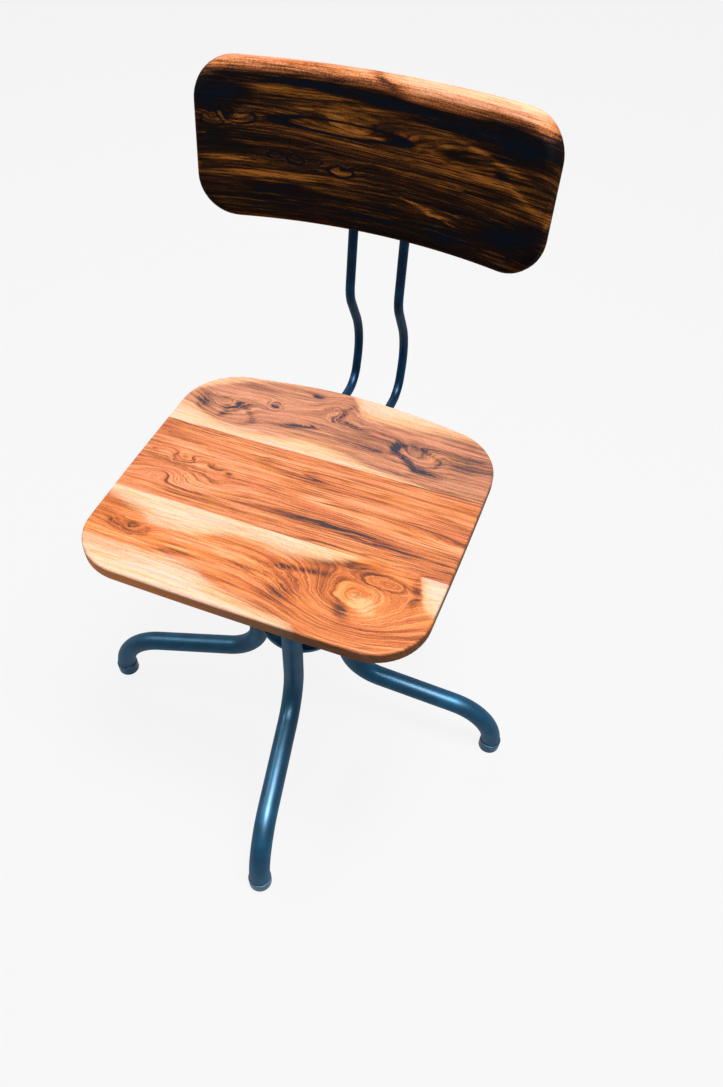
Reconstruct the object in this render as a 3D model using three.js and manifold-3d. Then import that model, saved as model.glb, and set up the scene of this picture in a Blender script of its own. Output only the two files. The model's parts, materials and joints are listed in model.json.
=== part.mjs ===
// Bankers swivel chair: a plank seat and a curved backrest on a four-legged tube base.
// The seat swivels on a screw spindle, and a hand nut on the base sets the spindle's height.
// Millimetres, +Z up. The floor is z = 0 and the screw's axis is the Z axis. The sitter faces -Y.
import * as THREE from "three";
import { mergeVertices } from "three/addons/utils/BufferGeometryUtils.js";
import Module from "manifold-3d";

const wasm = await Module();
wasm.setup();

const degree = Math.PI / 180;

// Clearances
const fitGap = 0.3;
const cutOverrun = 2;

// Seat
const seatHeight = 463;
const seatThickness = 18;
const seatEdgeRound = 3;
const seatFrontWidth = 411;
const seatMiddleWidth = 420;
const seatBackWidth = 421;
const seatDepth = 356;
const seatFrontCornerRadius = 65;
const seatBackCornerRadius = 76;
const seatFrontBulge = 2.5;
const seatBackBulge = 33;
const seatCentreSetback = -9.5;
const bulgeReachShare = 0.45;
const rearPlankJointY = 62.5;
const frontPlankJointY = -69.5;

// Backrest
const backrestWidth = 408;
const backrestHeight = 170;
const backrestThickness = 27;
const backrestCornerRadius = 46;
const backrestEdgeRound = 11;
const backrestBendRadius = 490;
const backrestRise = 299;

// Back rods
const rodDiameter = 12;
const rodSpacing = 65.5;
const rodFrontEndY = -72;
const rodRiserY = 274;
const rodBellyRun = 21;
const rodBellyRise = 72.5;
const rodWaistRun = 47.5;
const rodWaistRise = 154;
const rodLean = 5.8 * degree;
const rodRiserRadius = 31;
const rodBellyRadius = 96;
const rodWaistRadius = 47.5;
const rodTopOverhang = 6;
const rodRings = 6;
const rodSides = 12;

// Legs
const legDiameter = 28;
const legWall = 2;
const legTopRadius = 65.7;
const legTopDrop = 133;
const legFootRadius = 304.8;
const legFootCurl = 11.3;
const legSlope = 10.9 * degree;
const legShoulderHeight = 124.6;
const legShoulderRadius = 61.5;
const legAnkleRadius = 81;
const legFootOverrun = 6;
const frontLegAzimuth = -79.1 * degree;
const rightLegAzimuth = 5.3 * degree;
const rearLegAzimuth = 100.9 * degree;
const leftLegAzimuth = 190.5 * degree;

// Foot caps
const ferruleDiameter = 31;
const ferruleHeight = 19;
const ferruleFloor = 5;

// Base plates and column
const legPlateThickness = 6;
const lowerPlateRadius = 59.8;
const lowerPlateHeight = 213;
const upperPlateRadius = 82;
const columnDiameter = 60;
const columnWall = 4;
const columnFootDrop = 15;
const bushLength = 22;

// Screw spindle
const spindleDiameter = 28;
const spindleFootOverhang = 18;
const collarDiameter = 46;
const collarThickness = 6;
const journalDiameter = 20;
const journalChamfer = 1.5;
const slotEndFlat = 0.4;
const heightTravel = 100;
const keyDepth = 4;

// Key screw
const keyDiameter = 8;
const keyHeadAcross = 13;
const keyHeadHeight = 5.3;
const keyAzimuth = -37 * degree;
const keyDropBelowBush = 12;

// Hand nut
const handNutDiameter = 100;
const handNutHeight = 24;
const handNutRimHeight = 15;
const handNutHubDiameter = 50;
const handNutLobes = 8;
const handNutLobeDepth = 4;
const handNutBevel = 2;
const handNutRimDrop = 3;
const nutWasherThickness = 2;
const nutWasherOverhang = 6;

// Swivel
const housingDiameter = 60;
const housingNeckDiameter = 50;
const housingHeight = 31;
const bushWall = 3;
const bushFlangeWidth = 9;
const bushFlangeThickness = 2.7;
const housingNeckShare = 0.5;
const housingShoulderShare = 0.2;
const bushSleeveShare = 0.42;
const thrustWasherThickness = 2;
const retainingWasherDiameter = 37;
const retainingWasherThickness = 2;
const retainingNutAcross = 30;
const retainingNutHeight = 10;

// Seat frame
const clampPlateWidth = 160;
const clampPlateDepth = 150;
const clampPlateThickness = 6;
const plateCornerRadius = 12;
const crossBarWidth = 30;
const crossBarThickness = 6;
const crossBarCornerRadius = 4;
const crossBarSpacing = 100;
const clampBoltSpacing = 120;
const clampBoltDiameter = 8;
const clampBoltHeadAcross = 13;
const clampBoltHeadHeight = 5.3;
const clampNutHeight = 6.5;
const boltHolePlay = 0.5;
const railSpacing = 180;
const railWidth = 30;
const railHeight = 11;
const railLength = 300;
const railWall = 2.5;

// Wood screws
const seatScrewDiameter = 4.2;
const seatScrewHeadDiameter = 8.5;
const seatScrewHeadHeight = 3;
const seatScrewBite = 13;
const frontScrewY = -125;
const middleScrewY = -5;
const rearScrewY = 125;

// Backrest plate
const backPlateWidth = 120;
const backPlateHeight = 80;
const backPlateThickness = 3;
const backScrewInset = 14;
const backScrewBite = 14;

// Heights that follow from the pieces hung under the seat, from the top down
const rodRadius = rodDiameter / 2;
const seatUnderside = seatHeight - seatThickness;
const railTop = seatUnderside - fitGap;
const railBottom = railTop - railHeight;
const crossBarTop = railBottom - fitGap;
const crossBarBottom = crossBarTop - crossBarThickness;
const rodRunHeight = crossBarBottom - fitGap - rodRadius;
const clampPlateTop = rodRunHeight - rodRadius - fitGap;
const clampPlateBottom = clampPlateTop - clampPlateThickness;
const housingTop = clampPlateBottom - fitGap;
const housingBottom = housingTop - housingHeight;
const lowerFlangeBottom = housingBottom - fitGap - bushFlangeThickness;
const thrustWasherTop = lowerFlangeBottom - fitGap;
const thrustWasherBottom = thrustWasherTop - thrustWasherThickness;
const collarTop = thrustWasherBottom - fitGap;
const collarBottom = collarTop - collarThickness;
const upperFlangeBottom = clampPlateTop + fitGap;
const retainingWasherBottom = upperFlangeBottom + bushFlangeThickness + fitGap;
const retainingNutBottom = retainingWasherBottom + retainingWasherThickness + fitGap;
const journalTop = retainingNutBottom + retainingNutHeight + journalChamfer;

// Heights that follow from the pieces stacked on the legs, from the bottom up
const legTopHeight = seatHeight - legTopDrop;
const upperPlateBottom = legTopHeight + fitGap;
const upperPlateTop = upperPlateBottom + legPlateThickness;
const columnFootHeight = lowerPlateHeight - columnFootDrop;
const spindleFootHeight = columnFootHeight - spindleFootOverhang;
const nutWasherBottom = upperPlateTop + fitGap;
const handNutBottom = nutWasherBottom + nutWasherThickness + fitGap;
const handNutTop = handNutBottom + handNutHeight;

// Places and widths that follow from others
const backrestCentreHeight = seatHeight + backrestRise;
const rodBellyY = rodRiserY + rodBellyRun;
const rodWaistY = rodBellyY - rodWaistRun;
const crossBarLength = railSpacing + railWidth;
const journalBushRadius = journalDiameter / 2 + fitGap;
const housingBoreRadius = journalBushRadius + bushWall + fitGap;

// Materials
const paint = new THREE.MeshStandardMaterial({ color: 0x16405e, roughness: 0.35, metalness: 0.3 });
const steel = new THREE.MeshStandardMaterial({ color: 0xa7abad, roughness: 0.35, metalness: 1 });
const bronze = new THREE.MeshStandardMaterial({ color: 0xa87b43, roughness: 0.4, metalness: 1 });
const rubber = new THREE.MeshStandardMaterial({ color: 0x14222e, roughness: 0.7, metalness: 0 });
const seatWood = new THREE.MeshStandardMaterial({ color: 0xc86f3c, roughness: 0.45, metalness: 0 });
const backWood = new THREE.MeshStandardMaterial({ color: 0x5a2f1a, roughness: 0.45, metalness: 0 });

const chair = new THREE.Group();

function addPiece(name, geometry, material, parent = chair) {
  const mesh = new THREE.Mesh(geometry, material);
  mesh.name = name;
  parent.add(mesh);
  return mesh;
}

// Booleans
function solidOf(geometry) {
  const bare = new THREE.BufferGeometry();
  bare.setAttribute("position", geometry.getAttribute("position"));
  bare.setIndex(geometry.getIndex());
  const merged = mergeVertices(bare);
  const mesh = new wasm.Mesh({
    numProp: 3,
    vertProperties: new Float32Array(merged.getAttribute("position").array),
    triVerts: new Uint32Array(merged.getIndex().array),
  });
  return new wasm.Manifold(mesh);
}

function geometryOf(solid) {
  const mesh = solid.getMesh();
  const geometry = new THREE.BufferGeometry();
  geometry.setAttribute("position", new THREE.BufferAttribute(mesh.vertProperties, 3));
  geometry.setIndex(new THREE.BufferAttribute(mesh.triVerts, 1));
  geometry.computeVertexNormals();
  return geometry;
}

function cut(geometry, cutters) {
  let solid = solidOf(geometry);
  for (const cutter of cutters) {
    solid = solid.subtract(solidOf(cutter));
  }
  return geometryOf(solid);
}

function join(geometries) {
  let solid = solidOf(geometries[0]);
  for (const geometry of geometries.slice(1)) {
    solid = solid.add(solidOf(geometry));
  }
  return geometryOf(solid);
}

function common(geometry, limit) {
  return geometryOf(solidOf(geometry).intersect(solidOf(limit)));
}

// Turned pieces: a profile of [radius, height] pairs, turned about the Z axis
function turned(profile, sides) {
  const points = profile.map(([radius, height]) => new THREE.Vector2(radius, height));
  const geometry = new THREE.LatheGeometry(points, sides);
  geometry.rotateX(Math.PI / 2);
  return geometry;
}

function ring(outerRadius, innerRadius, bottom, top, sides = 28) {
  const profile = [
    [innerRadius, bottom],
    [outerRadius, bottom],
    [outerRadius, top],
    [innerRadius, top],
    [innerRadius, bottom],
  ];
  return turned(profile, sides);
}

function disc(radius, bottom, top, sides = 24) {
  return turned([[0, bottom], [radius, bottom], [radius, top], [0, top]], sides);
}

// Flat pieces: a shape in the XY plane, raised from bottom to top
function plate(shape, bottom, top, curveSegments = 3) {
  const options = { depth: top - bottom, bevelEnabled: false, curveSegments };
  const geometry = new THREE.ExtrudeGeometry(shape, options);
  geometry.translate(0, 0, bottom);
  return geometry;
}

function circle(x, y, radius, sides = 12) {
  const points = [];
  for (let index = 0; index < sides; index += 1) {
    const angle = (-2 * Math.PI * index) / sides;
    points.push(new THREE.Vector2(x + radius * Math.cos(angle), y + radius * Math.sin(angle)));
  }
  return new THREE.Path(points);
}

// An outline through corners, each rounded by an arc of the corner's own radius or tangent reach
const straightLimit = 0.0005;

function roundedOutline(corners) {
  const shape = new THREE.Shape();
  corners.forEach((corner, index) => {
    const before = corners[(index + corners.length - 1) % corners.length].point;
    const after = corners[(index + 1) % corners.length].point;
    const arrival = corner.point.clone().sub(before).normalize();
    const departure = after.clone().sub(corner.point).normalize();
    const turn = Math.atan2(arrival.cross(departure), arrival.dot(departure));
    const steepness = Math.tan(turn / 2);
    if (Math.abs(steepness) < straightLimit) {
      shape.lineTo(corner.point.x, corner.point.y);
      return;
    }
    const reach = corner.radius ? corner.radius * Math.abs(steepness) : corner.reach;
    const radius = reach / steepness;
    const start = corner.point.clone().addScaledVector(arrival, -reach);
    const centre = new THREE.Vector2(-arrival.y, arrival.x).multiplyScalar(radius).add(start);
    const inwardCorner = turn < 0;
    const startAngle = Math.atan2(-arrival.x, arrival.y) + (inwardCorner ? Math.PI : 0);
    shape.absarc(centre.x, centre.y, Math.abs(radius), startAngle, startAngle + turn, inwardCorner);
  });
  shape.closePath();
  return shape;
}

function roundedRectangle(width, depth, radius, centreX = 0, centreY = 0) {
  const right = centreX + width / 2;
  const left = centreX - width / 2;
  const back = centreY + depth / 2;
  const front = centreY - depth / 2;
  return roundedOutline([
    { point: new THREE.Vector2(left, front), radius },
    { point: new THREE.Vector2(right, front), radius },
    { point: new THREE.Vector2(right, back), radius },
    { point: new THREE.Vector2(left, back), radius },
  ]);
}

// The route of a bent tube: straight runs between corners, each corner bent to its radius.
// Rings stand at the ends of the straight runs and at even angles round each bend.
class BentRoute extends THREE.Curve {
  constructor(corners, bendRadii, ringsPerBend) {
    super();
    this.stations = [];
    const last = corners.length - 1;
    const firstHeading = corners[1].clone().sub(corners[0]).normalize();
    this.stations.push({ point: corners[0].clone(), heading: firstHeading });
    for (let index = 1; index < last; index += 1) {
      this.addBend(corners[index - 1], corners[index], corners[index + 1], bendRadii[index - 1], ringsPerBend);
    }
    const lastHeading = corners[last].clone().sub(corners[last - 1]).normalize();
    this.stations.push({ point: corners[last].clone(), heading: lastHeading });
  }

  addBend(before, corner, after, radius, rings) {
    const arrival = corner.clone().sub(before).normalize();
    const departure = after.clone().sub(corner).normalize();
    const turn = arrival.angleTo(departure);
    const start = corner.clone().addScaledVector(arrival, -radius * Math.tan(turn / 2));
    const inward = departure.clone().addScaledVector(arrival, -departure.dot(arrival)).normalize();
    for (let index = 0; index <= rings; index += 1) {
      const angle = (turn * index) / rings;
      const point = start.clone().addScaledVector(arrival, radius * Math.sin(angle));
      point.addScaledVector(inward, radius * (1 - Math.cos(angle)));
      const heading = arrival.clone().multiplyScalar(Math.cos(angle));
      heading.addScaledVector(inward, Math.sin(angle));
      this.stations.push({ point, heading });
    }
  }

  get steps() {
    return this.stations.length - 1;
  }

  locate(t) {
    const place = Math.min(Math.max(t, 0), 1) * this.steps;
    const index = Math.min(Math.floor(place), this.steps - 1);
    return { from: this.stations[index], to: this.stations[index + 1], share: place - index };
  }

  getUtoTmapping(u) {
    return u;
  }

  getPoint(t, target = new THREE.Vector3()) {
    const { from, to, share } = this.locate(t);
    return target.lerpVectors(from.point, to.point, share);
  }

  getTangent(t, target = new THREE.Vector3()) {
    const { from, to, share } = this.locate(t);
    return target.lerpVectors(from.heading, to.heading, share).normalize();
  }
}

function roundSection(sides, outerRadius, innerRadius = 0) {
  const shape = new THREE.Shape(circle(0, 0, outerRadius, sides).getPoints().reverse());
  if (innerRadius > 0) {
    shape.holes.push(circle(0, 0, innerRadius, sides));
  }
  return shape;
}

function sweep(section, route) {
  return new THREE.ExtrudeGeometry(section, { extrudePath: route, steps: route.steps, bevelEnabled: false });
}

// A closed skin over a row of outlines with equally many points, with flat ends
function loft(outlines) {
  const count = outlines[0].length;
  const positions = [];
  const triangles = [];
  for (const outline of outlines) {
    for (const point of outline) {
      positions.push(point.x, point.y, point.z);
    }
  }
  for (let row = 0; row < outlines.length - 1; row += 1) {
    for (let column = 0; column < count; column += 1) {
      const a = row * count + column;
      const b = row * count + ((column + 1) % count);
      triangles.push(a, a + count, b, b, a + count, b + count);
    }
  }
  const lastRow = (outlines.length - 1) * count;
  for (let column = 1; column < count - 1; column += 1) {
    triangles.push(0, column, column + 1);
    triangles.push(lastRow, lastRow + column + 1, lastRow + column);
  }
  const geometry = new THREE.BufferGeometry();
  geometry.setAttribute("position", new THREE.Float32BufferAttribute(positions, 3));
  geometry.setIndex(triangles);
  geometry.computeVertexNormals();
  return geometry;
}

// A box that keeps what lies between two heights
function layer(bottom, top) {
  const reach = 2 * (legFootRadius + legDiameter);
  const geometry = new THREE.BoxGeometry(reach, reach, top - bottom);
  geometry.translate(0, 0, (top + bottom) / 2);
  return geometry;
}

function hexagon(across, bottom, top) {
  const geometry = new THREE.CylinderGeometry(across / Math.sqrt(3), across / Math.sqrt(3), top - bottom, 6);
  geometry.rotateX(Math.PI / 2);
  geometry.translate(0, 0, (top + bottom) / 2);
  return geometry;
}

// A hexagon bolt whose head hangs below z = 0 and whose shank rises to its length
function hexagonBolt(diameter, headAcross, headHeight, length) {
  const head = hexagon(headAcross, -headHeight, 0);
  const shank = disc(diameter / 2, -headHeight / 2, length, 12);
  return join([head, shank]);
}

// A wood screw whose head hangs below z = 0 and whose shank rises to its length
function woodScrew(length) {
  const shankRadius = seatScrewDiameter / 2;
  const headRadius = seatScrewHeadDiameter / 2;
  const shoulder = headRadius - seatScrewHeadHeight / 2;
  const profile = [
    [0, -seatScrewHeadHeight],
    [shoulder, -seatScrewHeadHeight],
    [headRadius, -seatScrewHeadHeight / 2],
    [headRadius, 0],
    [shankRadius, 0],
    [shankRadius, length - seatScrewDiameter],
    [0, length],
  ];
  return turned(profile, 8);
}

// Turns a piece built along +Z so that it points along the radius, away from the axis or towards it
function aimAlongRadius(geometry, azimuth, outward) {
  const side = new THREE.Vector3(0, 1, 0);
  const along = new THREE.Vector3(outward ? 1 : -1, 0, 0);
  const up = along.clone().cross(side);
  geometry.applyMatrix4(new THREE.Matrix4().makeBasis(side, up, along));
  geometry.rotateZ(azimuth);
  return geometry;
}

// Legs: tubes that stand beside the column, sweep out and curl down to the floor
const legAzimuths = {
  front: frontLegAzimuth,
  right: rightLegAzimuth,
  rear: rearLegAzimuth,
  left: leftLegAzimuth,
};
const legRadius = legDiameter / 2;
const legRings = 8;
const legSides = 12;

function legRoute() {
  const run = legFootRadius - legTopRadius;
  const ankleHeight = legShoulderHeight - run * Math.tan(legSlope);
  const ankle = new THREE.Vector3(legFootRadius, 0, ankleHeight);
  const foot = new THREE.Vector3(legFootRadius - legFootCurl, 0, 0);
  const heading = foot.clone().sub(ankle).normalize();
  const corners = [
    new THREE.Vector3(legTopRadius, 0, legTopHeight),
    new THREE.Vector3(legTopRadius, 0, legShoulderHeight),
    ankle,
    foot.addScaledVector(heading, legFootOverrun),
  ];
  return new BentRoute(corners, [legShoulderRadius, legAnkleRadius], legRings);
}

function legTube(route) {
  const tube = sweep(roundSection(legSides, legRadius, legRadius - legWall), route);
  return common(tube, layer(ferruleFloor + fitGap, legTopHeight + cutOverrun));
}

function ferrule(route) {
  const outside = sweep(roundSection(legSides, ferruleDiameter / 2), route);
  const bore = sweep(roundSection(legSides, legRadius + fitGap), route);
  const cup = common(outside, layer(0, ferruleHeight));
  return cut(cup, [common(bore, layer(ferruleFloor, ferruleHeight + cutOverrun))]);
}

function addLegs() {
  const route = legRoute();
  for (const [side, azimuth] of Object.entries(legAzimuths)) {
    const group = new THREE.Group();
    group.rotation.z = azimuth;
    chair.add(group);
    addPiece(`leg_${side}`, legTube(route), paint, group);
    addPiece(`ferrule_${side}`, ferrule(route), rubber, group);
  }
}

// Base plates, column and bushes
const columnRadius = columnDiameter / 2;
const columnBoreRadius = columnRadius - columnWall;
const spindleRadius = spindleDiameter / 2;
const spindleHoleRadius = spindleRadius + fitGap;
const keyHeight = upperPlateTop - bushLength - keyDropBelowBush;
const keyRadius = keyDiameter / 2;

function addBasePlates() {
  const holeRadius = columnRadius + fitGap;
  const notches = Object.values(legAzimuths).map((azimuth) => {
    const notch = disc(legRadius + fitGap, lowerPlateHeight - cutOverrun,
      lowerPlateHeight + legPlateThickness + cutOverrun);
    notch.translate(legTopRadius * Math.cos(azimuth), legTopRadius * Math.sin(azimuth), 0);
    return notch;
  });
  const lower = ring(lowerPlateRadius, holeRadius, lowerPlateHeight, lowerPlateHeight + legPlateThickness, 36);
  addPiece("lower_leg_plate", cut(lower, notches), paint);
  addPiece("upper_leg_plate", ring(upperPlateRadius, holeRadius, upperPlateBottom, upperPlateTop, 36), paint);
}

function addColumn() {
  const tube = ring(columnRadius, columnBoreRadius, columnFootHeight, upperPlateTop);
  const keyHole = aimAlongRadius(disc(keyRadius + fitGap, 0, columnRadius + cutOverrun, 16), keyAzimuth, true);
  keyHole.translate(0, 0, keyHeight);
  addPiece("column_tube", cut(tube, [keyHole]), paint);
  const bushRadius = columnBoreRadius - fitGap;
  const lowerBush = ring(bushRadius, spindleHoleRadius, columnFootHeight, columnFootHeight + bushLength, 24);
  const upperBush = ring(bushRadius, spindleHoleRadius, upperPlateTop - bushLength, upperPlateTop, 24);
  addPiece("guide_bush_lower", lowerBush, bronze);
  addPiece("guide_bush_upper", upperBush, bronze);
}

function addKeyScrew() {
  const keyTip = spindleRadius - keyDepth + fitGap;
  const headSeat = columnRadius + fitGap;
  const screw = hexagonBolt(keyDiameter, keyHeadAcross, keyHeadHeight, headSeat - keyTip);
  screw.translate(0, 0, -headSeat);
  aimAlongRadius(screw, keyAzimuth, false);
  screw.translate(0, 0, keyHeight);
  addPiece("guide_key_screw", screw, steel);
}

// Hand nut and its washer
function lobedRim(radius) {
  const shape = new THREE.Shape();
  const pointsPerLobe = 7;
  const count = handNutLobes * pointsPerLobe;
  for (let index = 0; index < count; index += 1) {
    const angle = (2 * Math.PI * index) / count;
    const reach = radius - (handNutLobeDepth / 2) * (1 - Math.cos(handNutLobes * angle));
    const point = [reach * Math.cos(angle), reach * Math.sin(angle)];
    if (index === 0) {
      shape.moveTo(...point);
    } else {
      shape.lineTo(...point);
    }
  }
  shape.closePath();
  return shape;
}

function addHandNut() {
  const washerRadius = handNutHubDiameter / 2 + nutWasherOverhang;
  const washer = ring(washerRadius, spindleHoleRadius, nutWasherBottom, nutWasherBottom + nutWasherThickness);
  addPiece("nut_washer", washer, steel);
  const rim = new THREE.ExtrudeGeometry(lobedRim(handNutDiameter / 2), {
    depth: handNutRimHeight - 2 * handNutBevel,
    bevelThickness: handNutBevel,
    bevelSize: handNutBevel,
    bevelOffset: -handNutBevel,
    bevelSegments: 1,
  });
  rim.translate(0, 0, handNutBottom + handNutRimDrop + handNutBevel);
  const hub = disc(handNutHubDiameter / 2, handNutBottom, handNutTop, 28);
  const bore = disc(spindleHoleRadius, handNutBottom - cutOverrun, handNutTop + cutOverrun);
  addPiece("height_hand_nut", cut(join([rim, hub]), [bore]), paint);
}

// Screw spindle with its keyway, closed at both ends so that the key stops the travel
function keyway() {
  const halfWidth = keyRadius + fitGap;
  const top = keyHeight + halfWidth;
  const bottom = keyHeight - heightTravel - halfWidth;
  const corner = halfWidth - slotEndFlat;
  const shape = roundedRectangle(2 * halfWidth, top - bottom, corner, 0, (top + bottom) / 2);
  const slot = plate(shape, spindleRadius - keyDepth, spindleRadius + cutOverrun);
  return aimAlongRadius(slot, keyAzimuth, true);
}

function addSpindle() {
  const journalRadius = journalDiameter / 2;
  const collarRadius = collarDiameter / 2;
  const profile = [
    [0, spindleFootHeight],
    [spindleRadius - journalChamfer, spindleFootHeight],
    [spindleRadius, spindleFootHeight + journalChamfer],
    [spindleRadius, collarBottom],
    [collarRadius, collarBottom],
    [collarRadius, collarTop],
    [journalRadius, collarTop],
    [journalRadius, journalTop - journalChamfer],
    [journalRadius - journalChamfer, journalTop],
    [0, journalTop],
  ];
  addPiece("screw_spindle", cut(turned(profile, 24), [keyway()]), steel);
  const flangeRadius = housingBoreRadius + bushFlangeWidth;
  addPiece("thrust_washer", ring(flangeRadius, journalBushRadius, thrustWasherBottom, thrustWasherTop, 24), steel);
  const washerTop = retainingWasherBottom + retainingWasherThickness;
  const washerRadius = retainingWasherDiameter / 2;
  addPiece("retaining_washer", ring(washerRadius, journalBushRadius, retainingWasherBottom, washerTop, 24), steel);
  const nut = hexagon(retainingNutAcross, retainingNutBottom, retainingNutBottom + retainingNutHeight);
  const bore = disc(journalBushRadius, retainingNutBottom - cutOverrun, journalTop + cutOverrun);
  addPiece("retaining_nut", cut(nut, [bore]), steel);
}

// Swivel housing under the clamp plate, with a flanged bush at each end
function addSwivel() {
  const neckTop = housingBottom + housingHeight * housingNeckShare;
  const shoulderHeight = housingTop - housingHeight * housingShoulderShare;
  const housing = turned([
    [housingBoreRadius, housingBottom],
    [housingNeckDiameter / 2, housingBottom],
    [housingNeckDiameter / 2, neckTop],
    [housingDiameter / 2, shoulderHeight],
    [housingDiameter / 2, housingTop],
    [housingBoreRadius, housingTop],
    [housingBoreRadius, housingBottom],
  ], 28);
  addPiece("swivel_housing", housing, paint);
  const sleeveRadius = housingBoreRadius - fitGap;
  const flangeRadius = housingBoreRadius + bushFlangeWidth;
  const sleeveLength = housingHeight * bushSleeveShare;
  const lowerFlangeTop = lowerFlangeBottom + bushFlangeThickness;
  const lowerBush = turned([
    [journalBushRadius, lowerFlangeBottom],
    [flangeRadius, lowerFlangeBottom],
    [flangeRadius, lowerFlangeTop],
    [sleeveRadius, lowerFlangeTop],
    [sleeveRadius, lowerFlangeTop + sleeveLength],
    [journalBushRadius, lowerFlangeTop + sleeveLength],
    [journalBushRadius, lowerFlangeBottom],
  ], 24);
  const upperFlangeTop = upperFlangeBottom + bushFlangeThickness;
  const upperBush = turned([
    [journalBushRadius, upperFlangeBottom - sleeveLength],
    [sleeveRadius, upperFlangeBottom - sleeveLength],
    [sleeveRadius, upperFlangeBottom],
    [flangeRadius, upperFlangeBottom],
    [flangeRadius, upperFlangeTop],
    [journalBushRadius, upperFlangeTop],
    [journalBushRadius, upperFlangeBottom - sleeveLength],
  ], 24);
  addPiece("swivel_bush_lower", lowerBush, bronze);
  addPiece("swivel_bush_upper", upperBush, bronze);
}

// Clamp plate, cross bars and the bolts that squeeze the rods between them
const clampBoltRadius = clampBoltDiameter / 2;
const boltHoleRadius = clampBoltRadius + boltHolePlay;
const halfBoltSpan = clampBoltSpacing / 2;
const halfBarSpan = crossBarSpacing / 2;

function addClampPlate() {
  const shape = roundedRectangle(clampPlateWidth, clampPlateDepth, plateCornerRadius);
  shape.holes.push(circle(0, 0, housingBoreRadius, 24));
  for (const x of [-halfBoltSpan, halfBoltSpan]) {
    for (const y of [-halfBarSpan, halfBarSpan]) {
      shape.holes.push(circle(x, y, boltHoleRadius));
    }
  }
  addPiece("clamp_plate", plate(shape, clampPlateBottom, clampPlateTop), paint);
}

function addCrossBar(name, y) {
  const shape = roundedRectangle(crossBarLength, crossBarWidth, crossBarCornerRadius, 0, y);
  shape.holes.push(circle(-halfBoltSpan, y, boltHoleRadius), circle(halfBoltSpan, y, boltHoleRadius));
  addPiece(name, plate(shape, crossBarBottom, crossBarTop), paint);
}

function addClampBolts() {
  const nutBottom = crossBarTop + fitGap;
  const length = nutBottom + clampNutHeight - clampPlateBottom + fitGap;
  let count = 0;
  for (const x of [-halfBoltSpan, halfBoltSpan]) {
    for (const y of [-halfBarSpan, halfBarSpan]) {
      count += 1;
      const bolt = hexagonBolt(clampBoltDiameter, clampBoltHeadAcross, clampBoltHeadHeight, length);
      bolt.translate(x, y, clampPlateBottom - fitGap);
      addPiece(`clamp_bolt_${count}`, bolt, steel);
      const nut = hexagon(clampBoltHeadAcross, nutBottom, nutBottom + clampNutHeight);
      const bore = disc(clampBoltRadius + fitGap, nutBottom - cutOverrun, railTop, 12);
      const threaded = cut(nut, [bore]);
      threaded.translate(x, y, 0);
      addPiece(`clamp_nut_${count}`, threaded, steel);
    }
  }
}

// Seat rails: channels open downwards, with a row of screws up into the planks
const seatScrewPlaces = { front: frontScrewY, middle: middleScrewY, rear: rearScrewY };
const screwHoleRadius = seatScrewDiameter / 2 + fitGap;

function railChannel() {
  const half = railWidth / 2;
  const inner = half - railWall;
  const shape = new THREE.Shape();
  shape.moveTo(-half, 0);
  shape.lineTo(-inner, 0);
  shape.lineTo(-inner, railHeight - railWall);
  shape.lineTo(inner, railHeight - railWall);
  shape.lineTo(inner, 0);
  shape.lineTo(half, 0);
  shape.lineTo(half, railHeight);
  shape.lineTo(-half, railHeight);
  shape.closePath();
  const geometry = plate(shape, -railLength / 2, railLength / 2);
  geometry.rotateX(Math.PI / 2);
  geometry.translate(0, 0, railBottom);
  return geometry;
}

function screwHole(x, y, bottom, top) {
  const hole = disc(screwHoleRadius, bottom, top, 10);
  hole.translate(x, y, 0);
  return hole;
}

function addRails() {
  const headSeat = railTop - railWall - fitGap;
  let count = 0;
  for (const [side, x] of [["left", -railSpacing / 2], ["right", railSpacing / 2]]) {
    const channel = railChannel();
    channel.translate(x, 0, 0);
    const places = Object.values(seatScrewPlaces);
    const holes = places.map((y) => screwHole(x, y, railBottom, railTop + cutOverrun));
    addPiece(`seat_rail_${side}`, cut(channel, holes), paint);
    for (const y of places) {
      count += 1;
      const screw = woodScrew(seatUnderside + seatScrewBite - fitGap - headSeat);
      screw.translate(x, y, headSeat);
      addPiece(`seat_screw_${count}`, screw, steel);
    }
  }
}

// Seat: one rounded board sawn into three planks that run from side to side
function seatOutline() {
  const front = seatCentreSetback - seatDepth / 2;
  const back = seatCentreSetback + seatDepth / 2;
  const sideReach = (seatDepth / 2) * bulgeReachShare;
  const frontReach = (seatFrontWidth / 2) * bulgeReachShare;
  const backReach = (seatBackWidth / 2) * bulgeReachShare;
  return roundedOutline([
    { point: new THREE.Vector2(-seatFrontWidth / 2, front), radius: seatFrontCornerRadius },
    { point: new THREE.Vector2(0, front - seatFrontBulge), reach: frontReach },
    { point: new THREE.Vector2(seatFrontWidth / 2, front), radius: seatFrontCornerRadius },
    { point: new THREE.Vector2(seatMiddleWidth / 2, seatCentreSetback), reach: sideReach },
    { point: new THREE.Vector2(seatBackWidth / 2, back), radius: seatBackCornerRadius },
    { point: new THREE.Vector2(0, back + seatBackBulge), reach: backReach },
    { point: new THREE.Vector2(-seatBackWidth / 2, back), radius: seatBackCornerRadius },
    { point: new THREE.Vector2(-seatMiddleWidth / 2, seatCentreSetback), reach: sideReach },
  ]);
}

function plankSlab(front, back) {
  const geometry = new THREE.BoxGeometry(2 * seatMiddleWidth, back - front, 2 * seatThickness);
  geometry.translate(0, (front + back) / 2, seatHeight - seatThickness / 2);
  return geometry;
}

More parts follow.
